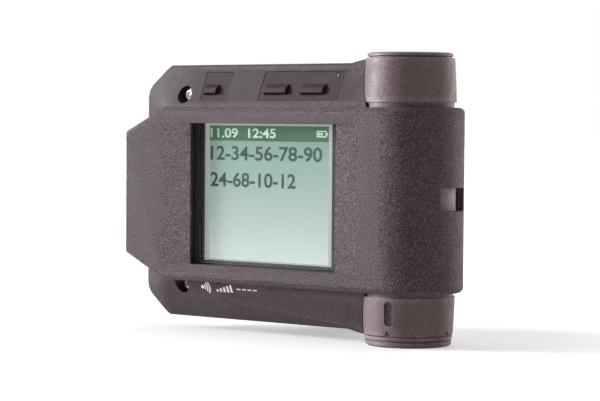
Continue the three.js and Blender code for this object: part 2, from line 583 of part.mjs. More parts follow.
function holsterShell() {
  const [low, high] = HOLSTER_Z;
  const [cx, cz] = HOLSTER_CORNER;
  const far = HOLSTER_OUTSIDE + 5;
  const outline = [[HOLSTER_LEFT, low + cz], [HOLSTER_LEFT + cx, low], [far, low], [far, high],
    [HOLSTER_LEFT + cx, high], [HOLSTER_LEFT, high - cz]];
  const plates = column(holsterSection(), HOLSTER_Z, 24).intersect(slab(outline, [-far, far]));
  const seat = bar("y", SEAT.radius, [CLIP_X, HOLSTER_OUTSIDE - 0.5, CLIP_Z], SEAT.height + 0.5, 40);
  const window = block(WINDOW.x, [-far, 0], WINDOW.z);
  const floor = -HOLSTER_OUTSIDE + RELIEF_DEPTH;
  const dish = column([[RELIEF_LEFT, -far], [RELIEF_RIGHT, -far], [RELIEF_RIGHT, -HOLSTER_OUTSIDE],
    [WINDOW.x[1], floor], [WINDOW.x[0], floor], [RELIEF_LEFT, -HOLSTER_OUTSIDE]], WINDOW.z);
  const notchEdge = (degrees) => {
    const angle = THREE.MathUtils.degToRad(degrees);
    return [far * Math.sin(angle), -far * Math.cos(angle)];
  };
  const notch = column([[0, 0], notchEdge(NOTCH.from), notchEdge((NOTCH.from + NOTCH.to) / 2), notchEdge(NOTCH.to)],
    NOTCH.z);
  const studHole = bar("y", STUD.radius + PIN_GAP, [CLIP_X, 0, CLIP_Z], far);
  const footRoom = bar("y", STUD.foot + 0.2, [CLIP_X, 0, CLIP_Z], HOLSTER_INSIDE + STUD.footHeight + 0.15);
  return cut(joined(plates, seat), window, dish, notch, studHole, footRoom);
}

function buildHolster() {
  place("holster_shell", holsterShell(), HOLSTER_PLASTIC);

  const seatTop = HOLSTER_OUTSIDE + SEAT.height;
  const washer = bar("y", WASHER.radius, [CLIP_X, seatTop + 0.02, CLIP_Z], WASHER.thickness, 36);
  place("swivel_washer", cut(washer, bar("y", WASHER.bore, [CLIP_X, 0, CLIP_Z], 30)), STEEL);

  const baseY = [seatTop + WASHER.thickness + 0.06, seatTop + WASHER.thickness + 0.06 + BASE.thickness];
  const headTop = baseY[1] - 0.1;
  const foot = bar("y", STUD.foot, [CLIP_X, HOLSTER_INSIDE + 0.1, CLIP_Z], STUD.footHeight);
  const shank = bar("y", STUD.radius, [CLIP_X, HOLSTER_INSIDE + 0.2, CLIP_Z], headTop - HOLSTER_INSIDE - 0.3);
  const head = bar("y", STUD.head, [CLIP_X, headTop - STUD.headHeight, CLIP_Z], STUD.headHeight, 36);
  place("swivel_stud", joined(foot, shank, head), STEEL);

  buildClip(baseY, headTop);
}

function buildClip(baseY, studTop) {
  const leverY = [baseY[1] + BELT_GAP, baseY[1] + BELT_GAP + LEVER.thickness];
  const pivotY = baseY[1] + BELT_GAP / 2;
  const half = BASE.width / 2;
  const ear = (inner, thickness, y) => {
    const foot = block([inner, inner + thickness], y, around(PIVOT_Z, 2 * EAR.radius));
    return joined(foot, bar("x", EAR.radius, [inner, pivotY, PIVOT_Z], thickness));
  };
  const pinHole = bar("x", PIN_RADIUS + PIN_GAP, [CLIP_X - 30, pivotY, PIVOT_Z], 60);

  const plate = slab(roundedRectangle(around(CLIP_X, BASE.width), BASE.z, BASE.corner), baseY);
  const baseEars = [CLIP_X - half, CLIP_X + half - EAR.base].map((x) => ear(x, EAR.base, [baseY[1] - 0.5, pivotY]));
  const headRoom = bar("y", STUD.head + 0.3, [CLIP_X, studTop - STUD.headHeight - 0.1, CLIP_Z], 9, 36);
  const shankRoom = bar("y", STUD.radius + PIN_GAP, [CLIP_X, 0, CLIP_Z], 40);
  place("clip_base", cut(joined(plate, ...baseEars), headRoom, shankRoom, pinHole), BLACK_PLASTIC);

  const blade = slab(roundedRectangle(around(CLIP_X, LEVER.width), LEVER.z, LEVER.corner), leverY);
  const hookTop = LEVER.z[0] + LEVER.corner + LEVER_HOOK;
  const hook = block(around(CLIP_X, LEVER.width - 2), [baseY[1] + GAP, leverY[0] + 0.5],
    [hookTop - LEVER_HOOK, hookTop]);
  const leverEars = [CLIP_X - half + EAR.base + GAP, CLIP_X + half - EAR.base - GAP - EAR.lever].map((x) =>
    ear(x, EAR.lever, [pivotY, leverY[0] + 0.5]));
  place("clip_lever", cut(joined(blade, hook, ...leverEars), pinHole), BLACK_PLASTIC);

  place("clip_pin", bar("x", PIN_RADIUS, [CLIP_X - half - 0.1, pivotY, PIVOT_Z], BASE.width + 0.2), STEEL);
  const springLength = BASE.width - 2 * (EAR.base + EAR.lever + 3 * GAP);
  const coil = bar("x", SPRING_RADIUS[1], [CLIP_X - springLength / 2, pivotY, PIVOT_Z], springLength);
  const coilRoom = bar("x", SPRING_RADIUS[0], [CLIP_X - 20, pivotY, PIVOT_Z], 40);
  place("clip_spring", cut(coil, coilRoom), STEEL);
}

// ---------------------------------------------------------------- the part

buildCasing();
buildDisplay();
buildKeys();
buildElectronics();
buildTube();
buildHolster();

// The origin is the centre of the bottom of everything.
pager.updateMatrixWorld(true);
const whole = new THREE.Box3().setFromObject(pager, true);
const middle = whole.getCenter(new THREE.Vector3());
pager.position.set(-middle.x, -middle.y, -whole.min.z);

export default pager;
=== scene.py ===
"""Looks for a pocket message receiver with a cell tube at one end, in a slip-on holster with a belt clip.

Sizes are in millimetres from the foot of the tube's axis. X runs along the casing towards the tube, Y runs
from the face to the belt clip, and Z is up. A piece is built in that layout and then set down in the frame,
in metres.
"""

import logging
import math
from collections.abc import Callable, Iterable, Sequence
from dataclasses import dataclass, field
from enum import Enum

import bmesh
import bpy
from mathutils import Euler, Matrix, Vector


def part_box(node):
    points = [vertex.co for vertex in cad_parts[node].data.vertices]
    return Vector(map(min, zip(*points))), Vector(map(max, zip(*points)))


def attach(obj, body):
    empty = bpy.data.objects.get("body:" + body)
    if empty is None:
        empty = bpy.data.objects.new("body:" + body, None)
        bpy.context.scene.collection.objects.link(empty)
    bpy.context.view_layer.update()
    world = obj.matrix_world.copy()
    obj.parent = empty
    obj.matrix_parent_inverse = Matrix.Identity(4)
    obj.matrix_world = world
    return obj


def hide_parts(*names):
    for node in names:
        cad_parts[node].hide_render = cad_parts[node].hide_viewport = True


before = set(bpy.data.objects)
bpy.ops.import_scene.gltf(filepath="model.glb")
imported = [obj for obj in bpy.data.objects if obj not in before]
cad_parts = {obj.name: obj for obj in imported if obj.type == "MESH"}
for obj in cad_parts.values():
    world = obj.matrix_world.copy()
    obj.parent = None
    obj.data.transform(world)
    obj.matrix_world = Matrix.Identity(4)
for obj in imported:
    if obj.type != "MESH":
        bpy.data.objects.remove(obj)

LOG = logging.getLogger("pager")
MM = 0.001
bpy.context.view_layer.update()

Span = tuple[float, float]
Point = tuple[float, float, float]
Colour = tuple[float, float, float]
Lift = Callable[[float, float, float], Point]
CoilPath = Callable[[int], tuple[Vector, Vector]]
EdgeTest = Callable[[bmesh.types.BMEdge], float]
Socket = bpy.types.NodeSocket

FULL_TURN = 2 * math.pi
EDGE_SHARE = "bevel_weight_edge"
MIDDLE_BAND = (0.35, 0.65)
WIDE_BAND = (0.3, 0.7)
RANGE_INPUTS = ("From Min", "From Max", "To Min", "To Max")


class Body(str, Enum):
    """The bodies of the frame that pieces ride on."""

    PAGER = "pager"
    LEFT_KEY = "left_key"
    MIDDLE_KEY = "middle_key"
    RIGHT_KEY = "right_key"
    CAP = "cap"
    WEIGHT = "weight"
    HOLSTER = "holster"
    CLIP = "clip"
    LEVER = "lever"


class Axis(str, Enum):
    """The directions a round bar can lie in."""

    X = "x"
    Y = "y"
    Z = "z"


def tube_foot() -> Vector:
    """Where the tube's axis meets the floor, in the frame's metres."""
    low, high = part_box("battery_tube")
    return Vector(((low.x + high.x) / 2, (low.y + high.y) / 2, 0))


ORIGIN = tube_foot()


def to_frame(x: float, y: float, z: float) -> Vector:
    """A point of the millimetre layout in the frame, in metres.

    Args:
        x: Along the casing, in millimetres.
        y: Towards the back, in millimetres.
        z: Height, in millimetres.

    Returns:
        The same point in the frame.
    """
    return ORIGIN + Vector((x, y, z)) * MM


def tipped(at: Point, degrees: float) -> Matrix:
    """Carries a layout to a place, tipped about the X axis."""
    return Matrix.Translation(at) @ Euler((math.radians(degrees), 0, 0)).to_matrix().to_4x4()


def linked(name: str, data: bpy.types.ID) -> bpy.types.Object:
    """An object that holds some data, put in the scene.

    Args:
        name: The object's name.
        data: What it holds.

    Returns:
        The object.
    """
    piece = bpy.data.objects.new(name, data)
    bpy.context.scene.collection.objects.link(piece)
    return piece


def as_mesh(holder: bpy.types.Object) -> bpy.types.Mesh:
    """Turns an object into a plain mesh and takes the object away.

    Args:
        holder: The object.

    Returns:
        Its mesh, with its modifiers applied.
    """
    graph = bpy.context.evaluated_depsgraph_get()
    mesh = bpy.data.meshes.new_from_object(holder.evaluated_get(graph), depsgraph=graph)
    bpy.data.objects.remove(holder)
    return mesh


def widened(span: Span, by: float) -> Span:
    """A span grown by the same length at both ends."""
    return (span[0] - by, span[1] + by)


def around(centre: float, size: float) -> Span:
    """A span of a given length about its centre."""
    return (centre - size / 2, centre + size / 2)


def within(value: float, span: Span) -> bool:
    """Whether a value is in a span or just at its ends."""
    return span[0] - 0.01 < value < span[1] + 0.01


def arc(centre: Span, radius: float, start: float, end: float, steps: int) -> list[Span]:
    """Points along part of a circle.

    Args:
        centre: The circle's centre.
        radius: The circle's radius.
        start: The first angle, in degrees.
        end: The last angle, in degrees.
        steps: How many chords there are.

    Returns:
        One point more than there are chords.
    """
    angles = [math.radians(start + (end - start) * i / steps) for i in range(steps + 1)]
    return [(centre[0] + radius * math.cos(a), centre[1] + radius * math.sin(a)) for a in angles]


def rounded_rectangle(u: Span, v: Span, radius: float, steps: int = 10) -> list[Span]:
    """The outline of a rectangle with round corners, anticlockwise.

    Args:
        u: Where it lies sideways.
        v: Where it lies upwards.
        radius: The radius of its corners.
        steps: How many chords each corner has.

    Returns:
        The outline's points.
    """
    corners = [
        ((u[1] - radius, v[0] + radius), -90),
        ((u[1] - radius, v[1] - radius), 0),
        ((u[0] + radius, v[1] - radius), 90),
        ((u[0] + radius, v[0] + radius), 180),
    ]
    return [point for centre, start in corners for point in arc(centre, radius, start, start + 90, steps)]


class Solid:
    """A closed mesh in the millimetre layout that is cut, joined and eased into the shape of a piece."""

    def __init__(self, mesh: bpy.types.Mesh) -> None:
        """Keeps the mesh that the solid works on."""
        self.mesh = mesh

    @classmethod
    def of(cls, points: Sequence[Point], faces: Sequence[Sequence[int]]) -> "Solid":
        """A solid from its corners and faces.

        Args:
            points: The corners.
            faces: The corners of each face, by number.

        Returns:
            The solid, with its faces turned outwards.
        """
        mesh = bpy.data.meshes.new("solid")
        mesh.from_pydata([Vector(p) for p in points], [], [list(f) for f in faces])
        shape = bmesh.new()
        shape.from_mesh(mesh)
        bmesh.ops.recalc_face_normals(shape, faces=shape.faces)
        shape.to_mesh(mesh)
        shape.free()
        return cls(mesh)

    @classmethod
    def prism(cls, outline: Sequence[Span], span: Span, lift: Lift) -> "Solid":
        """An outline given thickness.

        Args:
            outline: The outline's points.
            span: Where the thickness starts and ends.
            lift: Turns an outline point and a level into a point of the layout.

        Returns:
            The solid between the two levels.
        """
        count = len(outline)
        points = [lift(u, v, level) for level in span for u, v in outline]
        sides = [(i, (i + 1) % count, count + (i + 1) % count, count + i) for i in range(count)]
        return cls.of(points, [tuple(range(count)), tuple(range(count, 2 * count)), *sides])

    @classmethod
    def column(cls, outline: Sequence[Span], z: Span) -> "Solid":
        """An outline in X and Y with height along Z."""
        return cls.prism(outline, z, lambda u, v, level: (u, v, level))

    @classmethod
    def slab(cls, outline: Sequence[Span], y: Span) -> "Solid":
        """An outline in X and Z with depth along Y."""
        return cls.prism(outline, y, lambda u, v, level: (u, level, v))

    @classmethod
    def box(cls, x: Span, y: Span, z: Span) -> "Solid":
        """A block between two values on each axis."""
        return cls.column([(x[0], y[0]), (x[1], y[0]), (x[1], y[1]), (x[0], y[1])], z)

    @classmethod
    def hull(cls, points: Iterable[Point]) -> "Solid":
        """The convex solid round some points, with its flat faces whole.

        Args:
            points: The points.

        Returns:
            The solid.
        """
        shape = bmesh.new()
        for point in points:
            shape.verts.new(point)
        found = bmesh.ops.convex_hull(shape, input=shape.verts)
        bmesh.ops.delete(shape, geom=found["geom_interior"] + found["geom_unused"], context="VERTS")
        mesh = bpy.data.meshes.new("solid")
        shape.to_mesh(mesh)
        shape.free()
        return cls(mesh).tidied()

    @classmethod
    def turned(cls, profile: Sequence[Span], steps: int = 128) -> "Solid":
        """A closed profile of radius and height, turned about the Z axis.

        Args:
            profile: The profile's points. A point on the axis has radius 0.
            steps: How many sides the turned solid has.

        Returns:
            The turned solid.
        """
        points: list[Point] = []
        rings: list[list[int]] = []
        for radius, z in profile:
            if radius < 1e-6:
                rings.append([len(points)] * steps)
                points.append((0, 0, z))
                continue
            rings.append(list(range(len(points), len(points) + steps)))
            points += [
                (radius * math.cos(FULL_TURN * i / steps), radius * math.sin(FULL_TURN * i / steps), z)
                for i in range(steps)
            ]
        faces = []
        for ring, after in zip(rings, rings[1:] + rings[:1]):
            if len(set(ring)) == 1 and len(set(after)) == 1:
                continue
            for i in range(steps):
                j = (i + 1) % steps
                corners = [ring[i], ring[j], after[j], after[i]]
                faces.append([c for k, c in enumerate(corners) if c not in corners[:k]])
        return cls.of(points, faces)

    @classmethod
    def bar(cls, axis: Axis, radius: float, start: Point, length: float, steps: int = 64) -> "Solid":
        """A round bar.

        Args:
            axis: The direction it lies in.
            radius: Its radius.
            start: The centre of its first end.
            length: Its length.
            steps: How many sides it has.

        Returns:
            The bar.
        """
        x, y, z = start
        lifts: dict[Axis, Lift] = {
            Axis.X: lambda u, v, level: (x + level, y + u, z + v),
            Axis.Y: lambda u, v, level: (x + u, y + level, z + v),
            Axis.Z: lambda u, v, level: (x + u, y + v, z + level),
        }
        return cls.prism(arc((0, 0), radius, 0, 360, steps)[:-1], (0, length), lifts[axis])

    @classmethod
    def wound(cls, axis: Vector, wire: float, steps: int, place: CoilPath, sides: int = 10) -> "Solid":
        """Round wire wound into a coil.

        Args:
            axis: The coil's direction.
            wire: The wire's radius.
            steps: How many lengths the wire is made of.
            place: Gives the wire's middle and its direction outwards after a number of lengths.
            sides: How many sides the wire has.

        Returns:
            The coil.
        """
        points: list[Point] = []
        for i in range(steps + 1):
            centre, out = place(i)
            for k in range(sides):
                a = FULL_TURN * k / sides
                points.append(tuple(centre + wire * (out * math.cos(a) + axis * math.sin(a))))
        faces = []
        for first in range(0, steps * sides, sides):
            for k in range(sides):
                after = (k + 1) % sides
                faces.append((first + k, first + after, first + sides + after, first + sides + k))
        ends = [tuple(range(sides)), tuple(range(steps * sides, (steps + 1) * sides))]
        return cls.of(points, [*faces, *ends])

    def shaped(self, dress: Callable[[bpy.types.Object], None]) -> "Solid":
        """The solid after modifiers have been applied to it.

        Args:
            dress: Adds the modifiers to the object that holds the mesh.

        Returns:
            A new solid.
        """
        holder = linked("shaping", self.mesh)
        dress(holder)
        return Solid(as_mesh(holder))

    def combined(self, others: Iterable["Solid"], how: str) -> "Solid":
        """The solid combined with others, one after another.

        Args:
            others: The other solids.
            how: Blender's word for how they combine.

        Returns:
            A new solid.
        """
        made = self
        for other in others:
            tool = linked("tool", other.mesh)

            def dress(holder: bpy.types.Object) -> None:
                """Adds the modifier that combines the two.

                Args:
                    holder: The object that holds the first solid.
                """
                step = holder.modifiers.new("combine", "BOOLEAN")
                step.operation = how
                step.solver = "MANIFOLD"
                step.object = tool

            made = made.shaped(dress)
            bpy.data.objects.remove(tool)
        return made

    def cut(self, *others: "Solid") -> "Solid":
        """What is left when others are taken away."""
        return self.combined(others, "DIFFERENCE")

    def joined(self, *others: "Solid") -> "Solid":
        """The solid together with others."""
        return self.combined(others, "UNION")

    def kept(self, *others: "Solid") -> "Solid":
        """What the solid has in common with others."""
        return self.combined(others, "INTERSECT")

    def moved(self, matrix: Matrix) -> "Solid":
        """A copy carried somewhere by a matrix.

        Args:
            matrix: The matrix.

        Returns:
            The copy.
        """
        mesh = self.mesh.copy()
        mesh.transform(matrix)
        return Solid(mesh)

    def tidied(self, flat_within: float = 0.4) -> "Solid":
        """The solid with faces that lie in one plane merged.

        Args:
            flat_within: The largest angle between faces that count as one plane, in degrees.

        Returns:
            A new solid.
        """
        shape = bmesh.new()
        shape.from_mesh(self.mesh)
        bmesh.ops.remove_doubles(shape, verts=shape.verts, dist=0.0008)
        bmesh.ops.dissolve_limit(
            shape,
            angle_limit=math.radians(flat_within),
            verts=shape.verts,
            edges=shape.edges,
            use_dissolve_boundaries=False,
        )
        mesh = bpy.data.meshes.new("solid")
        shape.to_mesh(mesh)
        shape.free()
        return Solid(mesh)

    def eased(self, width: float, test: EdgeTest, steps: int = 3) -> "Solid":
        """The solid with chosen edges rounded.

        Args:
            width: How far a fully eased edge is cut back, in millimetres.
            test: Gives each edge its share of that width, from 0 to 1.
            steps: How many strips each rounding has.

        Returns:
            A new solid.
        """
        shape = bmesh.new()
        shape.from_mesh(self.mesh)
        shape.edges.index_update()
        shares = [test(edge) for edge in shape.edges]
        shape.to_mesh(self.mesh)
        shape.free()
        layers = self.mesh.attributes
        layer = layers.get(EDGE_SHARE) or layers.new(EDGE_SHARE, "FLOAT", "EDGE")
        layer.data.foreach_set("value", shares)

        def dress(holder: bpy.types.Object) -> None:
            """Adds the rounding.

            Args:
                holder: The object that holds the solid.
            """
            step = holder.modifiers.new("ease", "BEVEL")
            step.limit_method = "WEIGHT"
            step.offset_type = "OFFSET"
            step.width = width
            step.segments = steps
            step.profile = 0.5
            step.use_clamp_overlap = False
            step.miter_outer = "MITER_SHARP"

        made = self.shaped(dress)
        found = made.mesh.attributes.get(EDGE_SHARE)
        if found:
            made.mesh.attributes.remove(found)
        return made


def middle_of(edge: bmesh.types.BMEdge) -> Vector:
    """The middle of an edge."""
    return (edge.verts[0].co + edge.verts[1].co) / 2


def sharper_than(degrees: float, y_above: float = -math.inf, y_below: float = math.inf) -> EdgeTest:
    """A test that picks outside edges by the angle between their faces.

    Args:
        degrees: The smallest angle that counts.
        y_above: An edge counts when its middle is past this.
        y_below: An edge counts when its middle is short of this.

    Returns:
        The test.
    """

    def test(edge: bmesh.types.BMEdge) -> float:
        """Whether an edge counts.

        Args:
            edge: The edge.

        Returns:
            1 when it does, or else 0.
        """
        if not edge.is_manifold or not y_above < middle_of(edge).y < y_below:
            return 0.0
        return 1.0 if edge.calc_face_angle_signed(0.0) > math.radians(degrees) else 0.0

    return test


class Graph:
    """The shader nodes of one material, with short ways to add the usual ones."""

    def __init__(self, name: str) -> None:
        """Starts a material with its standard shader.

        Args:
            name: The material's name.
        """
        self.material = bpy.data.materials.new(name)
        self.material.use_nodes = True
        self.tree = self.material.node_tree
        self.shader = self.tree.nodes["Principled BSDF"]
        self.output = self.tree.nodes["Material Output"]

    def add(self, kind: str, **settings: object) -> bpy.types.Node:
        """A new node with some of its settings.

        Args:
            kind: Blender's name for the kind of node.
            settings: The settings, by name.

        Returns:
            The node.
        """
        node = self.tree.nodes.new(kind)
        for name, value in settings.items():
            setattr(node, name, value)
        return node

    def wire(self, source: Socket, target: Socket) -> None:
        """Joins two sockets."""
        self.tree.links.new(source, target)

    def feed(self, target: Socket, value: object) -> None:
        """Gives a socket its value.

        Args:
            target: The socket.
            value: Another socket, a colour or a number.
        """
        if isinstance(value, Socket):
            self.wire(value, target)
        elif isinstance(value, tuple) and len(value) == 3:
            target.default_value = (*value, 1)
        else:
            target.default_value = value

    def set(self, **values: object) -> None:
        """Sets inputs of the standard shader, named with underscores for spaces."""
        for name, value in values.items():
            self.feed(self.shader.inputs[name.replace("_", " ")], value)

    def place(self) -> Socket:
        """Where on the object a point is."""
        return self.add("ShaderNodeTexCoord").outputs["Object"]

    def noise(self, size: float, detail: float = 2.0, rough: float = 0.5) -> Socket:
        """A soft random pattern.

        Args:
            size: The size of its patches, in millimetres.
            detail: How many finer layers lie on top.
            rough: How strong the finer layers are.

        Returns:
            Its value, near one half.
        """
        node = self.add("ShaderNodeTexNoise")
        self.wire(self.place(), node.inputs["Vector"])
        node.inputs["Scale"].default_value = 1 / (size * MM)
        node.inputs["Detail"].default_value = detail
        node.inputs["Roughness"].default_value = rough
        return node.outputs["Fac"]

    def cells(self, size: float) -> Socket:
        """A pattern of small grains.

        Args:
            size: The size of a grain, in millimetres.

        Returns:
            The distance to the middle of the nearest grain.
        """
        node = self.add("ShaderNodeTexVoronoi")
        self.wire(self.place(), node.inputs["Vector"])
        node.inputs["Scale"].default_value = 1 / (size * MM)
        return node.outputs["Distance"]

    def ramp(self, value: Socket, start: Span, end: Span) -> Socket:
        """A value carried from one range to another and held at its ends.

        Args:
            value: The value.
            start: The range it comes from.
            end: The range it goes to.

        Returns:
            The new value.
        """
        node = self.add("ShaderNodeMapRange", clamp=True)
        self.wire(value, node.inputs["Value"])
        for socket, number in zip(RANGE_INPUTS, (*start, *end)):
            node.inputs[socket].default_value = number
        return node.outputs["Result"]

    def sum(self, how: str, first: object, second: object) -> Socket:
        """Two values combined, each a socket or a number.

        Args:
            how: Blender's word for the sum.
            first: The first value.
            second: The second value.

        Returns:
            The result.
        """
        node = self.add("ShaderNodeMath", operation=how)
        for socket, value in zip(node.inputs, (first, second)):
            self.feed(socket, value)
        return node.outputs[0]

    def blend(self, share: Socket, first: object, second: object) -> Socket:
        """Two colours mixed, each a socket or a colour.

        Args:
            share: How much of the second colour there is.
            first: The first colour.
            second: The second colour.

        Returns:
            The mixed colour.
        """
        node = self.add("ShaderNodeMix", data_type="RGBA")
        self.wire(share, node.inputs[0])
        for socket, colour in zip(node.inputs[6:8], (first, second)):
            self.feed(socket, colour)
        return node.outputs[2]

    def bump(self, height: Socket, depth: float, strength: float) -> None:
        """Raises the surface by a pattern.

        Args:
            height: The pattern.
            depth: How deep it goes, in millimetres.
            strength: How much of it shows, from 0 to 1.
        """
        node = self.add("ShaderNodeBump")
        node.inputs["Strength"].default_value = strength
        node.inputs["Distance"].default_value = depth * MM
        self.wire(height, node.inputs["Height"])
        self.wire(node.outputs["Normal"], self.shader.inputs["Normal"])


@dataclass(frozen=True)
class Finish:
    """What every finish has: a name and the name of the record's material slot, which this script does not
    use.
    """

    name: str
    slot: str

    def material(self) -> bpy.types.Material:
        """The finish's material, made once."""
        return bpy.data.materials.get(self.name) or self.make()

    def make(self) -> bpy.types.Material:
        """Builds the material."""
        raise NotImplementedError


@dataclass(frozen=True)
class MouldedPlastic(Finish):
    """Plastic from a spark-eroded mould, with a fine pitted grain, pale flecks on the grain that are painted
    glints, and rubbed edges.
    """

    colour: Colour
    glint_and_wear: Colour
    grain: float = 0.28
    glint_share: float = 0.35
    glint_band: Span = (0.56, 0.72)
    depth: float = 0.05
    strength: float = 0.5
    roughness: Span = (0.42, 0.6)
    gloss: float = 0.4
    rubbed: float = 0.35

    def make(self) -> bpy.types.Material:
        """Builds the material.

        Returns:
            The material.
        """
        graph = Graph(self.name)
        patches = graph.ramp(graph.noise(7.0, 3.0), MIDDLE_BAND, (0.0, 1.0))
        darker = tuple(0.86 * c for c in self.colour)
        colour = graph.blend(patches, self.colour, darker)
        fine = graph.noise(self.grain, 1.5, 0.6)
        # Painted glints: pale flecks on the fine grain stand in for highlights on its pits.
        glints = graph.ramp(fine, self.glint_band, (0.0, self.glint_share))
        colour = graph.blend(glints, colour, self.glint_and_wear)
        edges = graph.add("ShaderNodeNewGeometry").outputs["Pointiness"]
        rubbed = graph.ramp(edges, (0.505, 0.56), (0.0, self.rubbed))
        broken = graph.sum("MULTIPLY", rubbed, graph.ramp(graph.noise(1.1, 3.0), (0.35, 0.6), (0.35, 1.0)))
        pits = graph.sum("ADD", graph.cells(1.3 * self.grain), fine)
        graph.bump(pits, self.depth, self.strength)
        graph.set(
            Base_Color=graph.blend(broken, colour, self.glint_and_wear),
            Roughness=graph.ramp(graph.noise(2.5, 3.0), MIDDLE_BAND, self.roughness),
            Specular_IOR_Level=self.gloss,
        )
        return graph.material


@dataclass(frozen=True)
class Rubber(Finish):
    """Smooth silicone rubber with a faint bloom."""

    colour: Colour
    bloom: Colour
    roughness: Span = (0.5, 0.62)

    def make(self) -> bpy.types.Material:
        """Builds the material.

        Returns:
            The material.
        """
        graph = Graph(self.name)
        bloom = graph.ramp(graph.noise(3.0, 4.0), (0.45, 0.75), (0.0, 0.6))
        graph.bump(graph.noise(0.18), 0.01, 0.25)
        graph.set(
            Base_Color=graph.blend(bloom, self.colour, self.bloom),
            Roughness=graph.ramp(graph.noise(1.2), MIDDLE_BAND, self.roughness),
            Specular_IOR_Level=0.12,
        )
        return graph.material


@dataclass(frozen=True)
class Metal(Finish):
    """Plated or turned metal with fine drawn lines and a little tarnish."""

    colour: Colour
    tarnish: Colour
    roughness: Span = (0.22, 0.4)
    grain: Point = (0.1, 0.1, 2.0)

    def make(self) -> bpy.types.Material:
        """Builds the material.

        Returns:
            The material.
        """
        graph = Graph(self.name)
        stretch = graph.add("ShaderNodeMapping")
        stretch.inputs["Scale"].default_value = tuple(1 / (g * MM) for g in self.grain)
        graph.wire(graph.place(), stretch.inputs["Vector"])
        lines = graph.add("ShaderNodeTexNoise")
        lines.inputs["Scale"].default_value = 1.0
        graph.wire(stretch.outputs["Vector"], lines.inputs["Vector"])
        dull = graph.ramp(graph.noise(1.6, 4.0), (0.5, 0.75), (0.0, 0.7))
        graph.bump(lines.outputs["Fac"], 0.004, 0.3)
        graph.set(
            Base_Color=graph.blend(dull, self.colour, self.tarnish),
            Roughness=graph.ramp(lines.outputs["Fac"], WIDE_BAND, self.roughness),
            Metallic=1.0,
        )
        return graph.material


@dataclass(frozen=True)
class ClearPlastic(Finish):
    """A clear window that lamps shine through."""

    tint: Colour = (0.96, 0.985, 0.97)
    roughness: Span = (0.02, 0.06)
    index: float = 1.22

    def make(self) -> bpy.types.Material:
        """Builds the material.

        Returns:
            The material.
        """
        graph = Graph(self.name)
        graph.set(
            Base_Color=self.tint,
            Transmission_Weight=1.0,
            IOR=self.index,
            Roughness=graph.ramp(graph.noise(4.0, 4.0), (0.4, 0.7), self.roughness),
        )
        path = graph.add("ShaderNodeLightPath")
        through = graph.add("ShaderNodeBsdfTransparent")
        through.inputs["Color"].default_value = (*self.tint, 1)
        mix = graph.add("ShaderNodeMixShader")
        graph.wire(path.outputs["Is Shadow Ray"], mix.inputs[0])
        graph.wire(graph.shader.outputs["BSDF"], mix.inputs[1])
        graph.wire(through.outputs["BSDF"], mix.inputs[2])
        graph.wire(mix.outputs["Shader"], graph.output.inputs["Surface"])
        return graph.material


@dataclass(frozen=True)
class MessageScreen(Finish):
    """The liquid-crystal panel: a pale rim, a dark status strip and a field that pales towards its foot."""

    field_x: Span
    field_z: Span
    strip_foot: float
    rim: Colour = (0.50, 0.53, 0.47)
    strip: Colour = (0.030, 0.135, 0.042)
    upper: Colour = (0.25, 0.40, 0.33)
    lower: Colour = (0.80, 0.86, 0.83)
    glow: float = 0.54
    body: float = 0.18
    fade: float = 0.6
    dots: float = 0.24
    gap: float = 0.12
    gap_share: float = 0.10
    gap_colour: Colour = (0.75, 0.8, 0.77)

    def make(self) -> bpy.types.Material:
        """Builds the material.

        Returns:
            The material.
        """
        graph = Graph(self.name)
        split = graph.add("ShaderNodeSeparateXYZ")
        graph.wire(graph.place(), split.inputs[0])
        x, z = split.outputs["X"], split.outputs["Z"]

        def above(value: Socket, edge: float) -> Socket:
            """1 where a value is over an edge."""
            return graph.sum("GREATER_THAN", value, edge)

        left, right = (to_frame(e, 0, 0).x for e in self.field_x)
        foot, head = (to_frame(0, 0, e).z for e in self.field_z)
        line = to_frame(0, 0, self.strip_foot).z
        inside_x = graph.sum("SUBTRACT", above(x, left), above(x, right))
        inside_z = graph.sum("SUBTRACT", above(z, foot), above(z, head))
        inside = graph.sum("MULTIPLY", inside_x, inside_z)
        curved = graph.sum("POWER", graph.ramp(z, (foot, line), (0.0, 1.0)), self.fade)
        field_colour = graph.blend(curved, self.lower, self.upper)
        with_strip = graph.blend(above(z, line), field_colour, self.strip)
        half = self.dots * MM / 2
        rows = graph.sum("LESS_THAN", graph.sum("PINGPONG", z, half), self.gap * half)
        columns = graph.sum("LESS_THAN", graph.sum("PINGPONG", x, half), self.gap * half)
        gaps = graph.sum("MULTIPLY", graph.sum("MAXIMUM", rows, columns), self.gap_share)
        dotted = graph.blend(gaps, with_strip, self.gap_colour)
        shown = graph.blend(inside, self.rim, dotted)
        dim = graph.add("ShaderNodeVectorMath", operation="SCALE")
        graph.wire(shown, dim.inputs[0])
        dim.inputs["Scale"].default_value = self.body
        graph.set(
            Base_Color=dim.outputs[0],
            Emission_Color=shown,
            Emission_Strength=self.glow,
            Roughness=graph.ramp(graph.noise(0.5), WIDE_BAND, (0.32, 0.42)),
            Specular_IOR_Level=0.1,
        )
        return graph.material


@dataclass(frozen=True)
class BoardResist(Finish):
    """A circuit board's green lacquer with paler tracks under it."""

    colour: Colour = (0.012, 0.10, 0.04)
    track: Colour = (0.035, 0.20, 0.08)

    def make(self) -> bpy.types.Material:
        """Builds the material.

        Returns:
            The material.
        """
        graph = Graph(self.name)
        brick = graph.add("ShaderNodeTexBrick")
        graph.wire(graph.place(), brick.inputs["Vector"])
        brick.inputs["Scale"].default_value = 320.0
        brick.inputs["Mortar Size"].default_value = 0.02
        graph.feed(brick.inputs["Color1"], self.colour)
        graph.feed(brick.inputs["Color2"], tuple(1.25 * c for c in self.colour))
        graph.feed(brick.inputs["Mortar"], self.track)
        graph.bump(brick.outputs["Fac"], 0.02, 0.4)
        dull = graph.ramp(graph.noise(2.0), WIDE_BAND, (0.25, 0.4))
        graph.set(Base_Color=brick.outputs["Color"], Roughness=dull)
        return graph.material


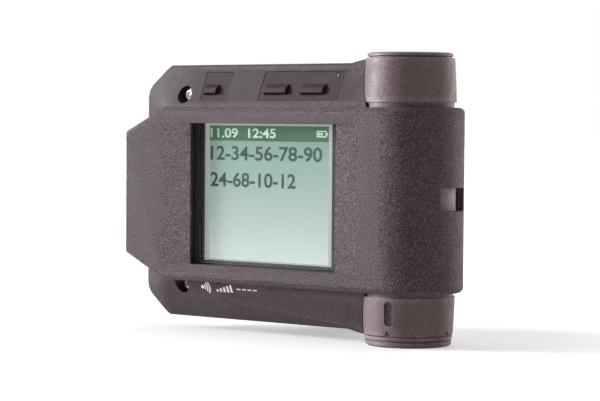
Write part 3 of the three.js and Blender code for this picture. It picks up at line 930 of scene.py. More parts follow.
@dataclass(frozen=True)
class CellSleeve(Finish):
    """The printed film round a dry cell: a dark barrel with a copper band at its head."""

    barrel: Colour = (0.018, 0.020, 0.024)
    band: Colour = (0.55, 0.26, 0.10)
    scuff: Colour = (0.25, 0.24, 0.23)
    band_foot: float = 42.0

    def make(self) -> bpy.types.Material:
        """Builds the material.

        Returns:
            The material.
        """
        graph = Graph(self.name)
        split = graph.add("ShaderNodeSeparateXYZ")
        graph.wire(graph.place(), split.inputs[0])
        high = graph.sum("GREATER_THAN", split.outputs["Z"], to_frame(0, 0, self.band_foot).z)
        colour = graph.blend(high, self.barrel, self.band)
        scuffs = graph.ramp(graph.noise(0.8, 5.0), (0.6, 0.8), (0.0, 0.5))
        graph.set(
            Base_Color=graph.blend(scuffs, colour, self.scuff),
            Roughness=graph.ramp(graph.noise(2.0), WIDE_BAND, (0.22, 0.38)),
        )
        return graph.material


# The pale second colour of each moulded plastic is painted glints on its grain, and also the colour of its
# rubbed edges.
HOLSTER_PLASTIC = MouldedPlastic(
    "holster_plastic", "holster", (0.040, 0.025, 0.028), (0.26, 0.20, 0.225),
    grain=0.23, glint_share=0.9, glint_band=(0.44, 0.70), depth=0.12, strength=1.0,
    roughness=(0.44, 0.56), gloss=0.14,
)
CASING_PLASTIC = MouldedPlastic(
    "casing_plastic", "casing", (0.056, 0.041, 0.045), (0.20, 0.155, 0.17),
    grain=0.18, glint_share=0.4, depth=0.035, strength=0.45, roughness=(0.4, 0.52), gloss=0.1,
)
TUBE_PLASTIC = MouldedPlastic(
    "tube_plastic", "tube", (0.110, 0.068, 0.069), (0.42, 0.31, 0.32),
    grain=0.22, glint_share=0.5, glint_band=(0.46, 0.72), depth=0.05, strength=0.6,
    roughness=(0.42, 0.56), gloss=0.35,
)
CLIP_PLASTIC = MouldedPlastic(
    "clip_plastic", "clip", (0.050, 0.042, 0.045), (0.14, 0.13, 0.135),
    grain=0.24, glint_share=0.3, depth=0.04, strength=0.4, roughness=(0.36, 0.5), gloss=0.25,
)
BLACK_PLASTIC = MouldedPlastic(
    "grained_black_plastic", "black_plastic", (0.014, 0.013, 0.014), (0.05, 0.05, 0.05),
    grain=0.2, glint_share=0.2, depth=0.02, strength=0.3,
)
WHITE_PLASTIC = MouldedPlastic(
    "moulded_white_plastic", "white_plastic", (0.62, 0.64, 0.60), (0.75, 0.76, 0.74),
    grain=0.3, glint_share=0.2, depth=0.02, strength=0.2, gloss=0.5,
)
KEY_RUBBER = Rubber("soft_key_rubber", "key_rubber", (0.040, 0.024, 0.028), (0.052, 0.034, 0.038))
SEAL_RUBBER = Rubber("seal_rubber", "black_rubber", (0.010, 0.010, 0.010), (0.03, 0.03, 0.03))
LENS_GASKET = Rubber("lens_gasket", "lens_seal", (0.008, 0.009, 0.008), (0.016, 0.017, 0.016))
LENS_PLASTIC = ClearPlastic("lens_plastic", "lens")
GUIDE_PLASTIC = ClearPlastic("guide_plastic", "light_guide", (0.95, 0.97, 0.93), (0.1, 0.25))
LAMP_WINDOW = Rubber("lamp_window", "light_guide", (0.10, 0.085, 0.085), (0.15, 0.13, 0.13), (0.25, 0.35))
BOARD = BoardResist("board_resist", "circuit_board")
RIBBON = Metal("ribbon_film", "ribbon", (0.55, 0.28, 0.08), (0.35, 0.18, 0.06), (0.35, 0.5))
STEEL = Metal("bright_steel", "steel", (0.62, 0.61, 0.59), (0.42, 0.40, 0.38))
SPRING_STEEL = Metal(
    "drawn_spring_steel", "spring_steel", (0.50, 0.49, 0.47), (0.30, 0.28, 0.26), (0.28, 0.45)
)
TIN = Metal("tinned_sheet", "tin", (0.66, 0.67, 0.68), (0.48, 0.48, 0.48), (0.3, 0.45))
TUNGSTEN = Metal("sintered_weight", "tungsten", (0.36, 0.35, 0.34), (0.24, 0.23, 0.22), (0.4, 0.55))
GOLD = Metal("gold_flash", "gold_contact", (0.90, 0.62, 0.25), (0.62, 0.42, 0.18), (0.2, 0.35))
COPPER = Metal("copper_strip", "copper", (0.80, 0.40, 0.24), (0.42, 0.20, 0.12), (0.25, 0.42))
CELL = CellSleeve("printed_cell_sleeve", "cell_sleeve")
INK = Rubber("pale_ink", "casing", (0.95, 0.78, 0.70), (0.88, 0.72, 0.65), (0.5, 0.6))
SCREEN_INK = Rubber("screen_ink", "panel", (0.006, 0.035, 0.020), (0.010, 0.042, 0.026), (0.5, 0.6))
SCREEN_PALE_INK = Rubber("screen_pale_ink", "panel", (0.42, 0.58, 0.47), (0.46, 0.62, 0.5), (0.5, 0.6))


def dress(node: str, finish: Finish) -> None:
    """Gives one of the frame's own nodes its finish.

    Args:
        node: The node's name.
        finish: Its finish.
    """
    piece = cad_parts[node]
    if not piece.material_slots:
        piece.data.materials.append(finish.material())
    for slot in piece.material_slots:
        slot.material = finish.material()
    LOG.info("%s keeps its shape, in %s", node, finish.name)


def set_down(
    name: str, solid: Solid, finish: Finish, body: Body, stands_for: Sequence[str] = (), smooth: float = 32.0
) -> None:
    """Makes a piece of a solid and sets it down in the frame.

    Args:
        name: The piece's name.
        solid: Its shape, in the millimetre layout.
        finish: Its finish.
        body: The body it rides on.
        stands_for: The nodes that it replaces.
        smooth: Faces that meet at less than this angle are shaded as one surface, in degrees.
    """

    def even_out(holder: bpy.types.Object) -> None:
        """Keeps flat faces flat beside their rounded edges.

        Args:
            holder: The object that holds the solid.
        """
        step = holder.modifiers.new("even", "WEIGHTED_NORMAL")
        step.keep_sharp = True
        step.weight = 60

    solid.mesh.polygons.foreach_set("use_smooth", [True] * len(solid.mesh.polygons))
    solid.mesh.set_sharp_from_angle(angle=math.radians(smooth))
    mesh = solid.shaped(even_out).mesh
    mesh.transform(Matrix.Translation(ORIGIN) @ Matrix.Diagonal((MM, MM, MM, 1)))
    mesh.name = name
    mesh.materials.clear()
    mesh.materials.append(finish.material())
    piece = linked(name, mesh)
    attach(piece, body.value)
    if stands_for:
        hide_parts(*stands_for)
    LOG.info("%s: %d faces, in %s", name, len(mesh.polygons), finish.name)


@dataclass(frozen=True)
class TubeForm:
    """The outside of the cell tube, which casing and holster fit round."""

    foot: float = 2.35
    head: float = 59.9
    radius: float = 9.7
    end_radius: float = 9.3
    taper: float = 9.0
    bulge: float = 1.4
    steps: int = 8
    clearance: float = 0.15

    def outside(self, gap: float = 0.0) -> list[Span]:
        """The profile of the tube's outside from its foot up.

        Args:
            gap: How far it is grown.

        Returns:
            Points of radius and height.
        """
        low, high = self.foot - gap, self.head + gap
        drop = self.radius - self.end_radius
        shares = [i / self.steps for i in range(self.steps + 1)]
        lower = [(self.radius + gap - drop * (1 - s) ** self.bulge, low + self.taper * s) for s in shares]
        upper = [(self.radius + gap - drop * s**self.bulge, high - self.taper * (1 - s)) for s in shares]
        return lower + upper

    def room(self) -> Solid:
        """The space that the tube takes up in the casing."""
        wide = self.end_radius + self.clearance
        return Solid.turned([(0, -1), (wide, -1), *self.outside(self.clearance), (wide, 62), (0, 62)])


TUBE_FORM = TubeForm()


@dataclass
class Casing:
    """The casing's two shells, their screws, seal and charging contacts."""

    left: float = -72.1
    top: float = 58.9
    bottom: float = 2.8
    right: float = -1.0
    corner: Span = (6.8, 5.3)
    half_depth: float = 9.2
    wall: float = 1.8
    margin_angle: float = 22.5
    crease_top: float = 48.5
    crease_bottom: float = 12.5
    end_slope: float = 0.43
    end_width: float = 9.8
    shoulder_x: float = -12.3
    rise_x: float = -8.6
    rise: float = 0.9
    parting: float = -5.1
    screws: tuple[Span, Span] = ((-57.9, 52.3), (-57.9, 10.2))
    screw_hole: float = 2.0
    head_top: float = -6.3
    head_height: float = 0.95
    head_radius: float = 1.35
    post_end: float = -4.4
    mats: tuple[Span, Span] = ((-52.9, -45.0), (-35.6, -13.0))
    mat_row: Span = (2.7, 9.5)
    lens_x: Span = (-52.2, -12.2)
    lens_z: Span = (14.0, 47.1)
    lens_floor: float = -7.88
    view_x: Span = (-51.6, -12.8)
    view_z: Span = (15.9, 46.5)
    grille_x: float = -54.6
    grille_z: Span = (50.4, 54.4)
    grille_pitch: float = 2.2
    grille_slot: float = 1.0
    contacts: tuple[float, ...] = (-46.0, -41.0, -36.0)
    contact_hole: float = 1.18
    grille_corner: float = 0.45
    lens_gap: float = 0.12
    skin_left: float = 0.5
    joint_ease: float = 0.09
    post: float = 2.9
    boss: float = 2.4
    post_room: float = 3.05
    pilot: float = 0.9
    crease_ease: float = 1.9

    def upper_margin(self) -> Matrix:
        """Carries the flat layout of the upper sloping margin onto the casing."""
        return tipped((0, -self.half_depth, self.crease_top), -self.margin_angle)

    def lower_margin(self) -> Matrix:
        """Carries the flat layout of the lower sloping margin onto the casing."""
        return tipped((0, -self.half_depth, self.crease_bottom), self.margin_angle)

    def crease_shift(self, inset: float) -> float:
        """How far a crease of the margins moves when the skin moves inwards."""
        return inset * math.tan(math.radians(self.margin_angle) / 2)

    def depth_at(self, z: float, inset: float = 0.0) -> float:
        """How far the skin is from the casing's middle at a height.

        Args:
            z: The height.
            inset: How far the skin is moved inwards.

        Returns:
            The distance.
        """
        shift = self.crease_shift(inset)
        past = max(0.0, z - self.crease_top + shift, self.crease_bottom + shift - z)
        return self.half_depth - inset - past * math.tan(math.radians(self.margin_angle))

    def block(self, inset: float) -> Solid:
        """The casing without its shoulders.

        Args:
            inset: How far the skin is moved inwards.

        Returns:
            The solid.
        """
        cx, cz = self.corner
        turn = math.atan2(cz, cx)
        along, down = inset * math.tan(turn / 2), inset * math.tan((math.pi / 2 - turn) / 2)
        low, high = self.bottom + inset, self.top - inset
        end, corner = self.left + inset, self.left + cx + along
        outline = [
            (end, self.bottom + cz + down), (corner, low), (self.right, low),
            (self.right, high), (corner, high), (end, self.top - cz - down),
        ]
        crease = self.left + self.end_width + inset * math.tan(math.atan(self.end_slope) / 2)
        end_depth = self.half_depth - inset - (crease - self.left - inset) * self.end_slope
        shift = self.crease_shift(inset)
        points: list[Point] = []
        for side in (-1, 1):
            for x in (crease, self.right):
                for z in (self.crease_bottom + shift, self.crease_top - shift):
                    points.append((x, side * (self.half_depth - inset), z))
            for x, z in outline:
                depth = end_depth if x == outline[0][0] else self.depth_at(z, inset)
                points.append((x, side * depth, z))
        return Solid.hull(points)

    def shoulder(self, side: int) -> Solid:
        """Where the casing rises to meet one end of the tube.

        Args:
            side: 1 for the upper one and -1 for the lower one.

        Returns:
            The solid.
        """
        edge = self.top if side > 0 else self.bottom
        tip, root = edge + side * self.rise, edge - side * self.wall
        corners = [
            (self.shoulder_x, edge), (self.rise_x, tip), (self.right, tip),
            (self.shoulder_x, root), (self.right, root),
        ]
        return Solid.hull([(x, s * self.depth_at(z), z) for x, z in corners for s in (-1, 1)])

    def outside(self) -> Solid:
        """The casing's whole outer form with soft creases and rounded rims.

        Returns:
            The solid.
        """
        form = self.block(0).joined(self.shoulder(1), self.shoulder(-1)).tidied()

        def share(edge: bmesh.types.BMEdge) -> float:
            """How far an edge is eased: creases most, rims less, and none beside the tube.

            Args:
                edge: The edge.

            Returns:
                Its share of the rounding, from 0 to 1.
            """
            if not edge.is_manifold or edge.calc_face_angle_signed(0.0) < math.radians(2):
                return 0.0
            middle = middle_of(edge)
            if middle.x > self.right - 0.01:
                return 0.0
            turn = math.degrees(edge.calc_face_angle())
            if turn < 35:
                return 1.0
            if middle.x < self.left + self.corner[0] - 0.5:
                return 0.5
            return 0.28

        return form.eased(self.crease_ease, share, 5)

    def mat_rooms(self) -> list[Solid]:
        """The openings for the two rubber mats through the upper margin."""
        return [Solid.box(x, (-2, 4), self.mat_row).moved(self.upper_margin()) for x in self.mats]

    def shells(self) -> tuple[Solid, Solid]:
        """The front and rear shells.

        Returns:
            The front shell and the rear shell.
        """
        hollow = self.block(self.wall)
        wall = self.outside().cut(hollow, TUBE_FORM.room())
        front = wall.kept(Solid.box((-90, 20), (-20, self.parting), (-10, 80)))
        back = wall.kept(Solid.box((-90, 20), (self.parting, 20), (-10, 80)))
        core = self.block(self.skin_left)
        posts, bosses, rooms, heads, pilots = [], [], [], [], []
        for x, z in self.screws:

            def upright(radius: float, start: float, end: float) -> Solid:
                """A round bar on the screw's axis."""
                return Solid.bar(Axis.Y, radius, (x, start, z), end - start)

            foot = self.post_end + 0.1
            posts.append(upright(self.post, 0.9 - self.depth_at(z), self.post_end).kept(core))
            bosses.append(upright(self.boss, foot, foot + 2 * self.half_depth).kept(core))
            rooms.append(upright(self.post_room, self.parting - 1, self.post_end + 0.05))
            heads.append(upright(self.screw_hole, -20, self.head_top + self.head_height))
            pilots.append(upright(self.pilot, -20, 4.6))
        pocket_x, pocket_z = widened(self.lens_x, self.lens_gap), widened(self.lens_z, self.lens_gap)
        pocket = Solid.box(pocket_x, (-11, self.lens_floor), pocket_z)
        view = Solid.box(self.view_x, (-9.15, self.parting + 0.5), self.view_z)
        front = front.joined(*posts).cut(pocket, view, *self.mat_rooms(), *heads, *pilots)
        slots = []
        for i in range(5):
            slot = around(self.grille_x + (i - 2) * self.grille_pitch, self.grille_slot)
            slots.append(Solid.slab(rounded_rectangle(slot, self.grille_z, self.grille_corner, 6), (3, 12)))
        holes = [Solid.bar(Axis.Z, self.contact_hole, (x, 0, -2), 9) for x in self.contacts]
        back = back.cut(*rooms).joined(*bosses).cut(*pilots, *slots, *holes, *self.mat_rooms())
        return self.parting_eased(front.tidied()), self.parting_eased(back.tidied())

    def parting_eased(self, shell: Solid) -> Solid:
        """Breaks the outer edge where a shell meets the other.

        Args:
            shell: The shell.

        Returns:
            The shell with its edge broken.
        """

        def share(edge: bmesh.types.BMEdge) -> float:
            """Whether an edge is on the joint between the shells.

            Args:
                edge: The edge.

            Returns:
                1 when it is, or else 0.
            """
            if not edge.is_manifold or edge.calc_face_angle_signed(0.0) < math.radians(25):
                return 0.0
            on_joint = all(abs(v.co.y - self.parting) < 0.002 for v in edge.verts)
            middle = middle_of(edge)
            near_tube = math.hypot(middle.x, middle.y) < 10.4
            return 1.0 if on_joint and not near_tube else 0.0

        return shell.eased(self.joint_ease, share, 1)

    def mark(self) -> Solid:
        """The small printed pictogram: a dot with three waves, bars that rise and a row of dashes.

        Returns:
            The pictogram, on the lower margin.
        """
        thick = (-0.02, 0.01)
        row = -2.85
        dot = (-51.6, row)
        parts = []
        for radius in (1.0, 1.65, 2.3):
            outer, inner = arc(dot, radius, -42, 42, 12), arc(dot, radius - 0.34, 42, -42, 12)
            parts.append(Solid.slab(outer + inner, thick))
        rising = [(-47.6 + 1.05 * i, 0.6, -0.95, -0.4 + 0.32 * i) for i in range(5)]
        dashes = [(-41.4 + 1.6 * i, 1.1, -0.2, 0.1) for i in range(4)]
        for x, width, foot, head in rising + dashes:
            low, high = row + foot, row + head
            parts.append(Solid.slab([(x, low), (x + width, low), (x + width, high), (x, high)], thick))
        return Solid.slab(arc(dot, 0.45, 0, 360, 20)[:-1], thick).joined(*parts).moved(self.lower_margin())

    def screw(self, at: Span) -> Solid:
        """A cap screw with a round socket and a pin at its centre.

        Args:
            at: Where it stands along X and Z.

        Returns:
            The screw.
        """
        x, z = at
        radius, top = self.head_radius, self.head_top
        profile = [
            (0, 0.2), (0.16, 0.2), (0.2, 0.25), (0.2, 0.6), (0.58, 0.6), (0.6, 0.06), (0.66, 0), (0.92, 0),
            (1.0, 0.06), (1.04, 0.42), (radius - 0.05, 0.46), (radius, 0.52), (radius, self.head_height),
            (0.8, self.head_height), (0.8, 9.6), (0.45, 10.0), (0, 10.0),
        ]
        return Solid.turned(profile, 48).moved(tipped((x, top, z), -90))

    def build(self) -> None:
        """Builds and dresses the casing."""
        front, back = self.shells()
        set_down("casing_front", front, CASING_PLASTIC, Body.PAGER, ["front_shell"])
        set_down("casing_back", back, CASING_PLASTIC, Body.PAGER, ["rear_shell"])
        set_down("printed_mark", self.mark(), INK, Body.PAGER)
        for where, at in zip(("upper", "lower"), self.screws):
            set_down(f"cap_screw_{where}", self.screw(at), STEEL, Body.PAGER, [f"casing_screw_{where}"], 25)
        for i, x in enumerate(self.contacts, 1):
            stud = Solid.turned([(0, 0), (0.9, 0), (1.06, 0.06), (1.1, 0.2), (1.1, 2.3), (0, 2.3)], 48)
            stud = stud.moved(Matrix.Translation((x, 0, self.bottom - 0.15)))
            set_down(f"charging_stud_{i}", stud, GOLD, Body.PAGER, [f"charging_contact_{i}"])
        dress("casing_gasket", SEAL_RUBBER)


@dataclass
class DisplayStack:
    """The window lens with the black border behind it, the message panel and what it stands on."""

    lens_x: Span = Casing.lens_x
    lens_z: Span = Casing.lens_z
    lens_y: Span = (-8.75, -8.2)
    panel_x: Span = (-53.0, -14.4)
    panel_z: Span = (13.9, 47.2)
    panel_front: float = -6.9
    opening_x: Span = (-51.6, -14.2)
    opening_z: Span = Casing.view_z
    field_x: Span = (-50.7, -16.2)
    field_z: Span = (16.2, 45.5)
    strip_foot: float = 42.2
    ink: float = 0.03

    def writing(self, words: str, left: float, foot: float, height: float, width: float) -> Solid:
        """Digits on the panel's front.

        Args:
            words: The digits and marks.
            left: Where they start along X.
            foot: The height they stand on.
            height: How tall a digit is.
            width: How long the line is.

        Returns:
            A thin solid just in front of the panel.
        """
        curve = bpy.data.curves.new("digits", "FONT")
        curve.body = words
        curve.extrude = self.ink / 2
        curve.offset = 0.02
        mesh = as_mesh(linked("digits", curve))
        shape = bmesh.new()
        shape.from_mesh(mesh)
        bmesh.ops.remove_doubles(shape, verts=shape.verts, dist=1e-5)
        shape.to_mesh(mesh)
        shape.free()
        lows, highs = ([pick(v.co[i] for v in mesh.vertices) for i in range(3)] for pick in (min, max))
        sizes = (width, height, self.ink)
        along, up, deep = (size / (high - low) for size, low, high in zip(sizes, lows, highs))
        for v in mesh.vertices:
            x, y, z = (value - low for value, low in zip(v.co, lows))
            v.co = (left + x * along, self.panel_front - 0.01 - z * deep, foot + y * up)
        return Solid(mesh)

    def charge_sign(self) -> Solid:
        """A small cell symbol at the right end of the status strip.

        Returns:
            The symbol, just in front of the panel.
        """
        y = (self.panel_front - 0.04, self.panel_front - 0.01)
        right = self.field_x[1] - 0.35
        case = Solid.box((right - 3.0, right - 0.3), y, (43.2, 44.6))
        hollow = Solid.box((right - 2.75, right - 0.55), widened(y, 1), (43.45, 44.35))
        bars = [Solid.box((right - 2.6 + 0.7 * i, right - 2.1 + 0.7 * i), y, (43.6, 44.2)) for i in range(2)]
        button = Solid.box((right - 0.32, right), y, (43.6, 44.2))
        return case.cut(hollow).joined(button, *bars)

    def build(self) -> None:
        """Builds and dresses the display."""
        lens = Solid.box(self.lens_x, self.lens_y, self.lens_z).eased(0.12, sharper_than(60), 3)
        set_down("window_lens", lens, LENS_PLASTIC, Body.PAGER, ["display_lens"], 50)
        screen = MessageScreen("message_screen", "panel", self.field_x, self.field_z, self.strip_foot)
        panel = Solid.box(self.panel_x, (self.panel_front, -5.3), self.panel_z)
        panel = panel.eased(0.1, sharper_than(60), 2)
        set_down("message_panel", panel, screen, Body.PAGER, ["display_panel"], 50)
        left = self.field_x[0] + 0.3
        for name, digits, foot, height, width, ink in (
            ("message_line_1", "12-34-56-78-90", 37.9, 3.2, 32.4, SCREEN_INK),
            ("message_line_2", "24-68-10-12", 32.1, 3.2, 25.0, SCREEN_INK),
            ("status_digits", "11.09  12:45", 42.85, 2.1, 19.2, SCREEN_PALE_INK),
        ):
            set_down(name, self.writing(digits, left, foot, height, width), ink, Body.PAGER)
        set_down("status_cell_sign", self.charge_sign(), SCREEN_PALE_INK, Body.PAGER)
        y = (self.lens_y[1] + 0.04, self.lens_y[1] + 0.2)
        opening = Solid.box(self.opening_x, widened(y, 1), self.opening_z)
        border = Solid.box(self.lens_x, y, self.lens_z).cut(opening)
        set_down("lens_border", border, LENS_GASKET, Body.PAGER, ["lens_seal"])
        dress("display_frame", WHITE_PLASTIC)
        dress("backlight_guide", GUIDE_PLASTIC)
        dress("display_ribbon", RIBBON)


@dataclass
class Keypad:
    """Two rubber mats in the upper margin with three keys that stand out of them."""

    casing: Casing
    keys: dict[str, Span] = field(
        default_factory=lambda: {"left": (-49.9, 3.9), "middle": (-30.8, 6.4), "right": (-20.4, 6.4)}
    )
    key_room: float = 0.18
    key_ease: float = 0.2
    mat_ease: float = 0.12
    row: float = 5.2
    height: float = 2.1
    proud: float = 0.9
    sunk: float = 0.15
    thickness: float = 1.6
    stem_end: float = 3.1
    light: Span = (-14.6, 8.6)

    def mat(self, x: Span, keys: Sequence[str]) -> Solid:
        """A flush mat with rooms for its keys.

        Args:
            x: Where the mat lies along X.
            keys: The names of its keys.

        Returns:
            The mat, on the margin.
        """
        span, rows = widened(x, -0.05), widened(self.casing.mat_row, -0.05)
        made = Solid.box(span, (0.03, self.sunk + self.thickness), rows)
        made = made.eased(self.mat_ease, sharper_than(60, y_below=self.sunk + 0.01), 3)
        row = widened(around(self.row, self.height), self.key_room)
        rooms = [
            Solid.box(around(centre, width + 2 * self.key_room), (-2, 4), row)
            for centre, width in (self.keys[name] for name in keys)
        ]
        if x[1] > self.light[0] > x[0]:
            rooms.append(Solid.bar(Axis.Y, 0.65, (self.light[0], -2, self.light[1]), 6, 32))
        return made.cut(*rooms).moved(self.casing.upper_margin())

    def key(self, name: str) -> Solid:
        """A key: a wedge that stands proud at its foot, with softened edges, on a short stem.

        Args:
            name: The key's name.

        Returns:
            The key, on the margin.
        """
        x, width = self.keys[name]
        (left, right), (low, high) = around(x, width), around(self.row, self.height)
        back = self.thickness + self.sunk
        profile = [(-self.proud, low), (-self.proud, low + 1.15), (-0.28, high), (back, high), (back, low)]
        cap = Solid.prism(profile, (left, right), lambda u, v, level: (level, u, v))
        cap = cap.eased(self.key_ease, sharper_than(15, y_below=0.2), 3)
        stem = Solid.box(around(x, 2), (self.thickness, self.stem_end), around(self.row, 1.6))
        return cap.joined(stem).moved(self.casing.upper_margin())

    def build(self) -> None:
        """Builds and dresses the keypad."""
        for side, x, keys in zip(("left", "right"), self.casing.mats, (["left"], ["middle", "right"])):
            set_down(f"key_mat_{side}", self.mat(x, keys), KEY_RUBBER, Body.PAGER, [f"keypad_mat_{side}"])
        for name, body in (("left", Body.LEFT_KEY), ("middle", Body.MIDDLE_KEY), ("right", Body.RIGHT_KEY)):
            set_down(f"press_key_{name}", self.key(name), KEY_RUBBER, body, [f"key_{name}"])
            dress(f"key_switch_{name}", TIN)
        pipe = Solid.turned([(0, 0), (0.35, 0.0), (0.5, 0.08), (0.55, 0.25), (0.55, 1.6), (0, 1.6)], 32)
        pipe = pipe.moved(self.casing.upper_margin() @ tipped((self.light[0], 0, self.light[1]), -90))
        set_down("status_lamp", pipe, LAMP_WINDOW, Body.PAGER, ["status_light_pipe"])
        dress("key_board", BOARD)


@dataclass
class CellTube:
    """The upright tube for one cell, with its end caps and contacts."""

    form: TubeForm = TUBE_FORM
    bore: float = 7.5
    height: float = 61.0
    rim_height: float = 2.25
    rim_radius: float = 9.15
    mark_floor: float = 8.9
    mark_angles: Span = (10.4, 97.9)
    recess_floor: float = 8.95
    recess_angle: float = 12.15
    ring_floor: float = 9.25
    rings: tuple[Span, Span] = ((10.35, 11.6), (49.1, 50.7))

    def barrel(self) -> Solid:
        """The tube with its thumb recess and the two turn marks.

        Returns:
            The tube.
        """
        low, high = self.form.foot, self.form.head
        outside = self.form.outside()
        first, last = outside[0], outside[-1]
        profile = [
            (self.bore, low), (first[0] - 0.18, low), (first[0] - 0.02, low + 0.12), *outside[1:-1],
            (last[0] - 0.02, high - 0.12), (last[0] - 0.18, high), (self.bore, high),
            (self.bore, 6.1), (8.5, 6.1), (8.5, 4.7), (self.bore, 4.7),
        ]
        entry = Solid.box(widened((0, 0), 8.5), widened((0, 0), 1.6), (low - 1, 6.1))
        thumb = rounded_rectangle((-0.95, 0.95), (4.55, 9.6), 0.9, 8)
        recess = self.radial(thumb, self.recess_angle, (self.recess_floor, 12))
        dot = [(-0.6, 2.6), (0.6, 2.6), (0, 3.55)]
        marks = [self.radial(dot, angle, (self.mark_floor, 12)) for angle in self.mark_angles]
        floor, rings = self.ring_floor, []
        for start, end in self.rings:
            rings.append(Solid.turned([(floor, start), (12, start), (12, end), (floor, end)]))
        return Solid.turned(profile).cut(entry, recess, *marks, *rings)

    def radial(self, outline: Sequence[Span], degrees: float, reach: Span) -> Solid:
        """An outline seen from outside the tube, given depth along a radius.

        Args:
            outline: Its points, sideways and up.
            degrees: How far round the tube it is, from the front towards the casing's far end.
            reach: Its radii.

        Returns:
            The solid.
        """
        made = Solid.slab(outline, (-reach[1], -reach[0]))
        return made.moved(Matrix.Rotation(math.radians(degrees), 4, "Z"))

    def top(self) -> Solid:
        """The upper cap: a disc with a bevelled rim over a thin groove.

        Returns:
            The cap.
        """
        seat, wide, plug, head = self.form.head, self.form.end_radius - 0.35, self.bore - 0.15, self.height
        return Solid.turned([
            (0, seat - 1.4), (plug, seat - 1.4), (plug, seat + 0.02), (wide - 0.4, seat + 0.02),
            (wide - 0.4, seat + 0.25), (wide - 0.06, seat + 0.34), (wide, seat + 0.42), (wide, head - 0.38),
            (wide - 0.06, head - 0.26), (wide - 0.42, head - 0.04), (wide - 0.55, head), (wide - 1.6, head),
            (wide - 1.75, head - 0.12), (wide - 1.9, head - 0.15), (0, head - 0.15),
        ])

    def battery_cap(self) -> Solid:
        """The lower cap, with a coin slot, two lugs and a groove for its seal.

        Returns:
            The cap.
        """
        rim, wide = self.rim_height, self.rim_radius
        plug = Solid.turned([
            (0, 0), (wide - 0.75, 0), (wide - 0.62, 0.05), (wide - 0.22, 0.34), (wide - 0.15, 0.46),
            (wide - 0.15, 1.1), (wide - 0.25, 1.19), (wide - 0.4, 1.22), (wide - 0.4, 1.45),
            (wide - 0.1, 1.5), (wide, 1.6), (wide, rim - 0.08), (wide - 0.08, rim), (7.2, rim), (7.2, 3.05),
            (6.3, 3.05), (6.3, 4.15), (7.2, 4.15), (7.2, 6.45), (5.4, 6.45), (5.4, rim + 0.4), (0, rim + 0.4),
        ])
        lugs = [
            Solid.box(x, widened((0, 0), 1.3), (4.9, 5.9)).eased(0.15, sharper_than(60))
            for x in ((-8.2, -6.7), (6.7, 8.2))
        ]
        slot = Solid.slab(rounded_rectangle(around(0, 11), (-1, 0.9), 0.3, 4), around(0, 1.8))
        made = plug.joined(*lugs).cut(slot)
        return made.moved(Matrix.Rotation(math.pi / 2, 4, "Z"))

    def spring(self) -> Solid:
        """A conical coil of round wire.

        Returns:
            The spring.
        """
        turns, steps, wire = 4.5, 120, 0.32
        low, high = 3.05 + wire + 0.05, 7.15 - wire - 0.02

        def place(i: int) -> tuple[Vector, Vector]:
            """The wire's middle and its direction outwards after a number of lengths.

            Args:
                i: The number of lengths.

            Returns:
                The two.
            """
            share = i / steps
            angle = FULL_TURN * turns * share
            radius = 4.2 - 1.7 * share
            centre = Vector((radius * math.cos(angle), radius * math.sin(angle), low + (high - low) * share))
            return centre, Vector((math.cos(angle), math.sin(angle), 0))

        return Solid.wound(Vector((0, 0, 1)), wire, steps, place)

    def build(self) -> None:
        """Builds and dresses the tube."""
        set_down("tube_barrel", self.barrel(), TUBE_PLASTIC, Body.PAGER, ["battery_tube"])
        set_down("tube_top", self.top(), TUBE_PLASTIC, Body.PAGER, ["top_cap"])
        set_down("coin_cap", self.battery_cap(), TUBE_PLASTIC, Body.CAP, ["battery_cap"])
        set_down("cell_spring", self.spring(), SPRING_STEEL, Body.CAP, ["battery_spring"], 60)
        dress("cap_seal_ring", SEAL_RUBBER)
        dress("cap_contact_plate", GOLD)
        dress("aa_cell", CELL)
        dress("positive_contact", GOLD)


@dataclass
class Innards:
    """What is inside the casing behind the display."""

    def build(self) -> None:
        """Dresses the inside pieces."""
        for node, finish in (
            ("main_board", BOARD), ("shield_can", TIN), ("loop_antenna", COPPER),
            ("loudspeaker", BLACK_PLASTIC), ("loudspeaker_seal", SEAL_RUBBER),
            ("vibration_motor", TIN), ("eccentric_weight", TUNGSTEN),
        ):
            dress(node, finish)


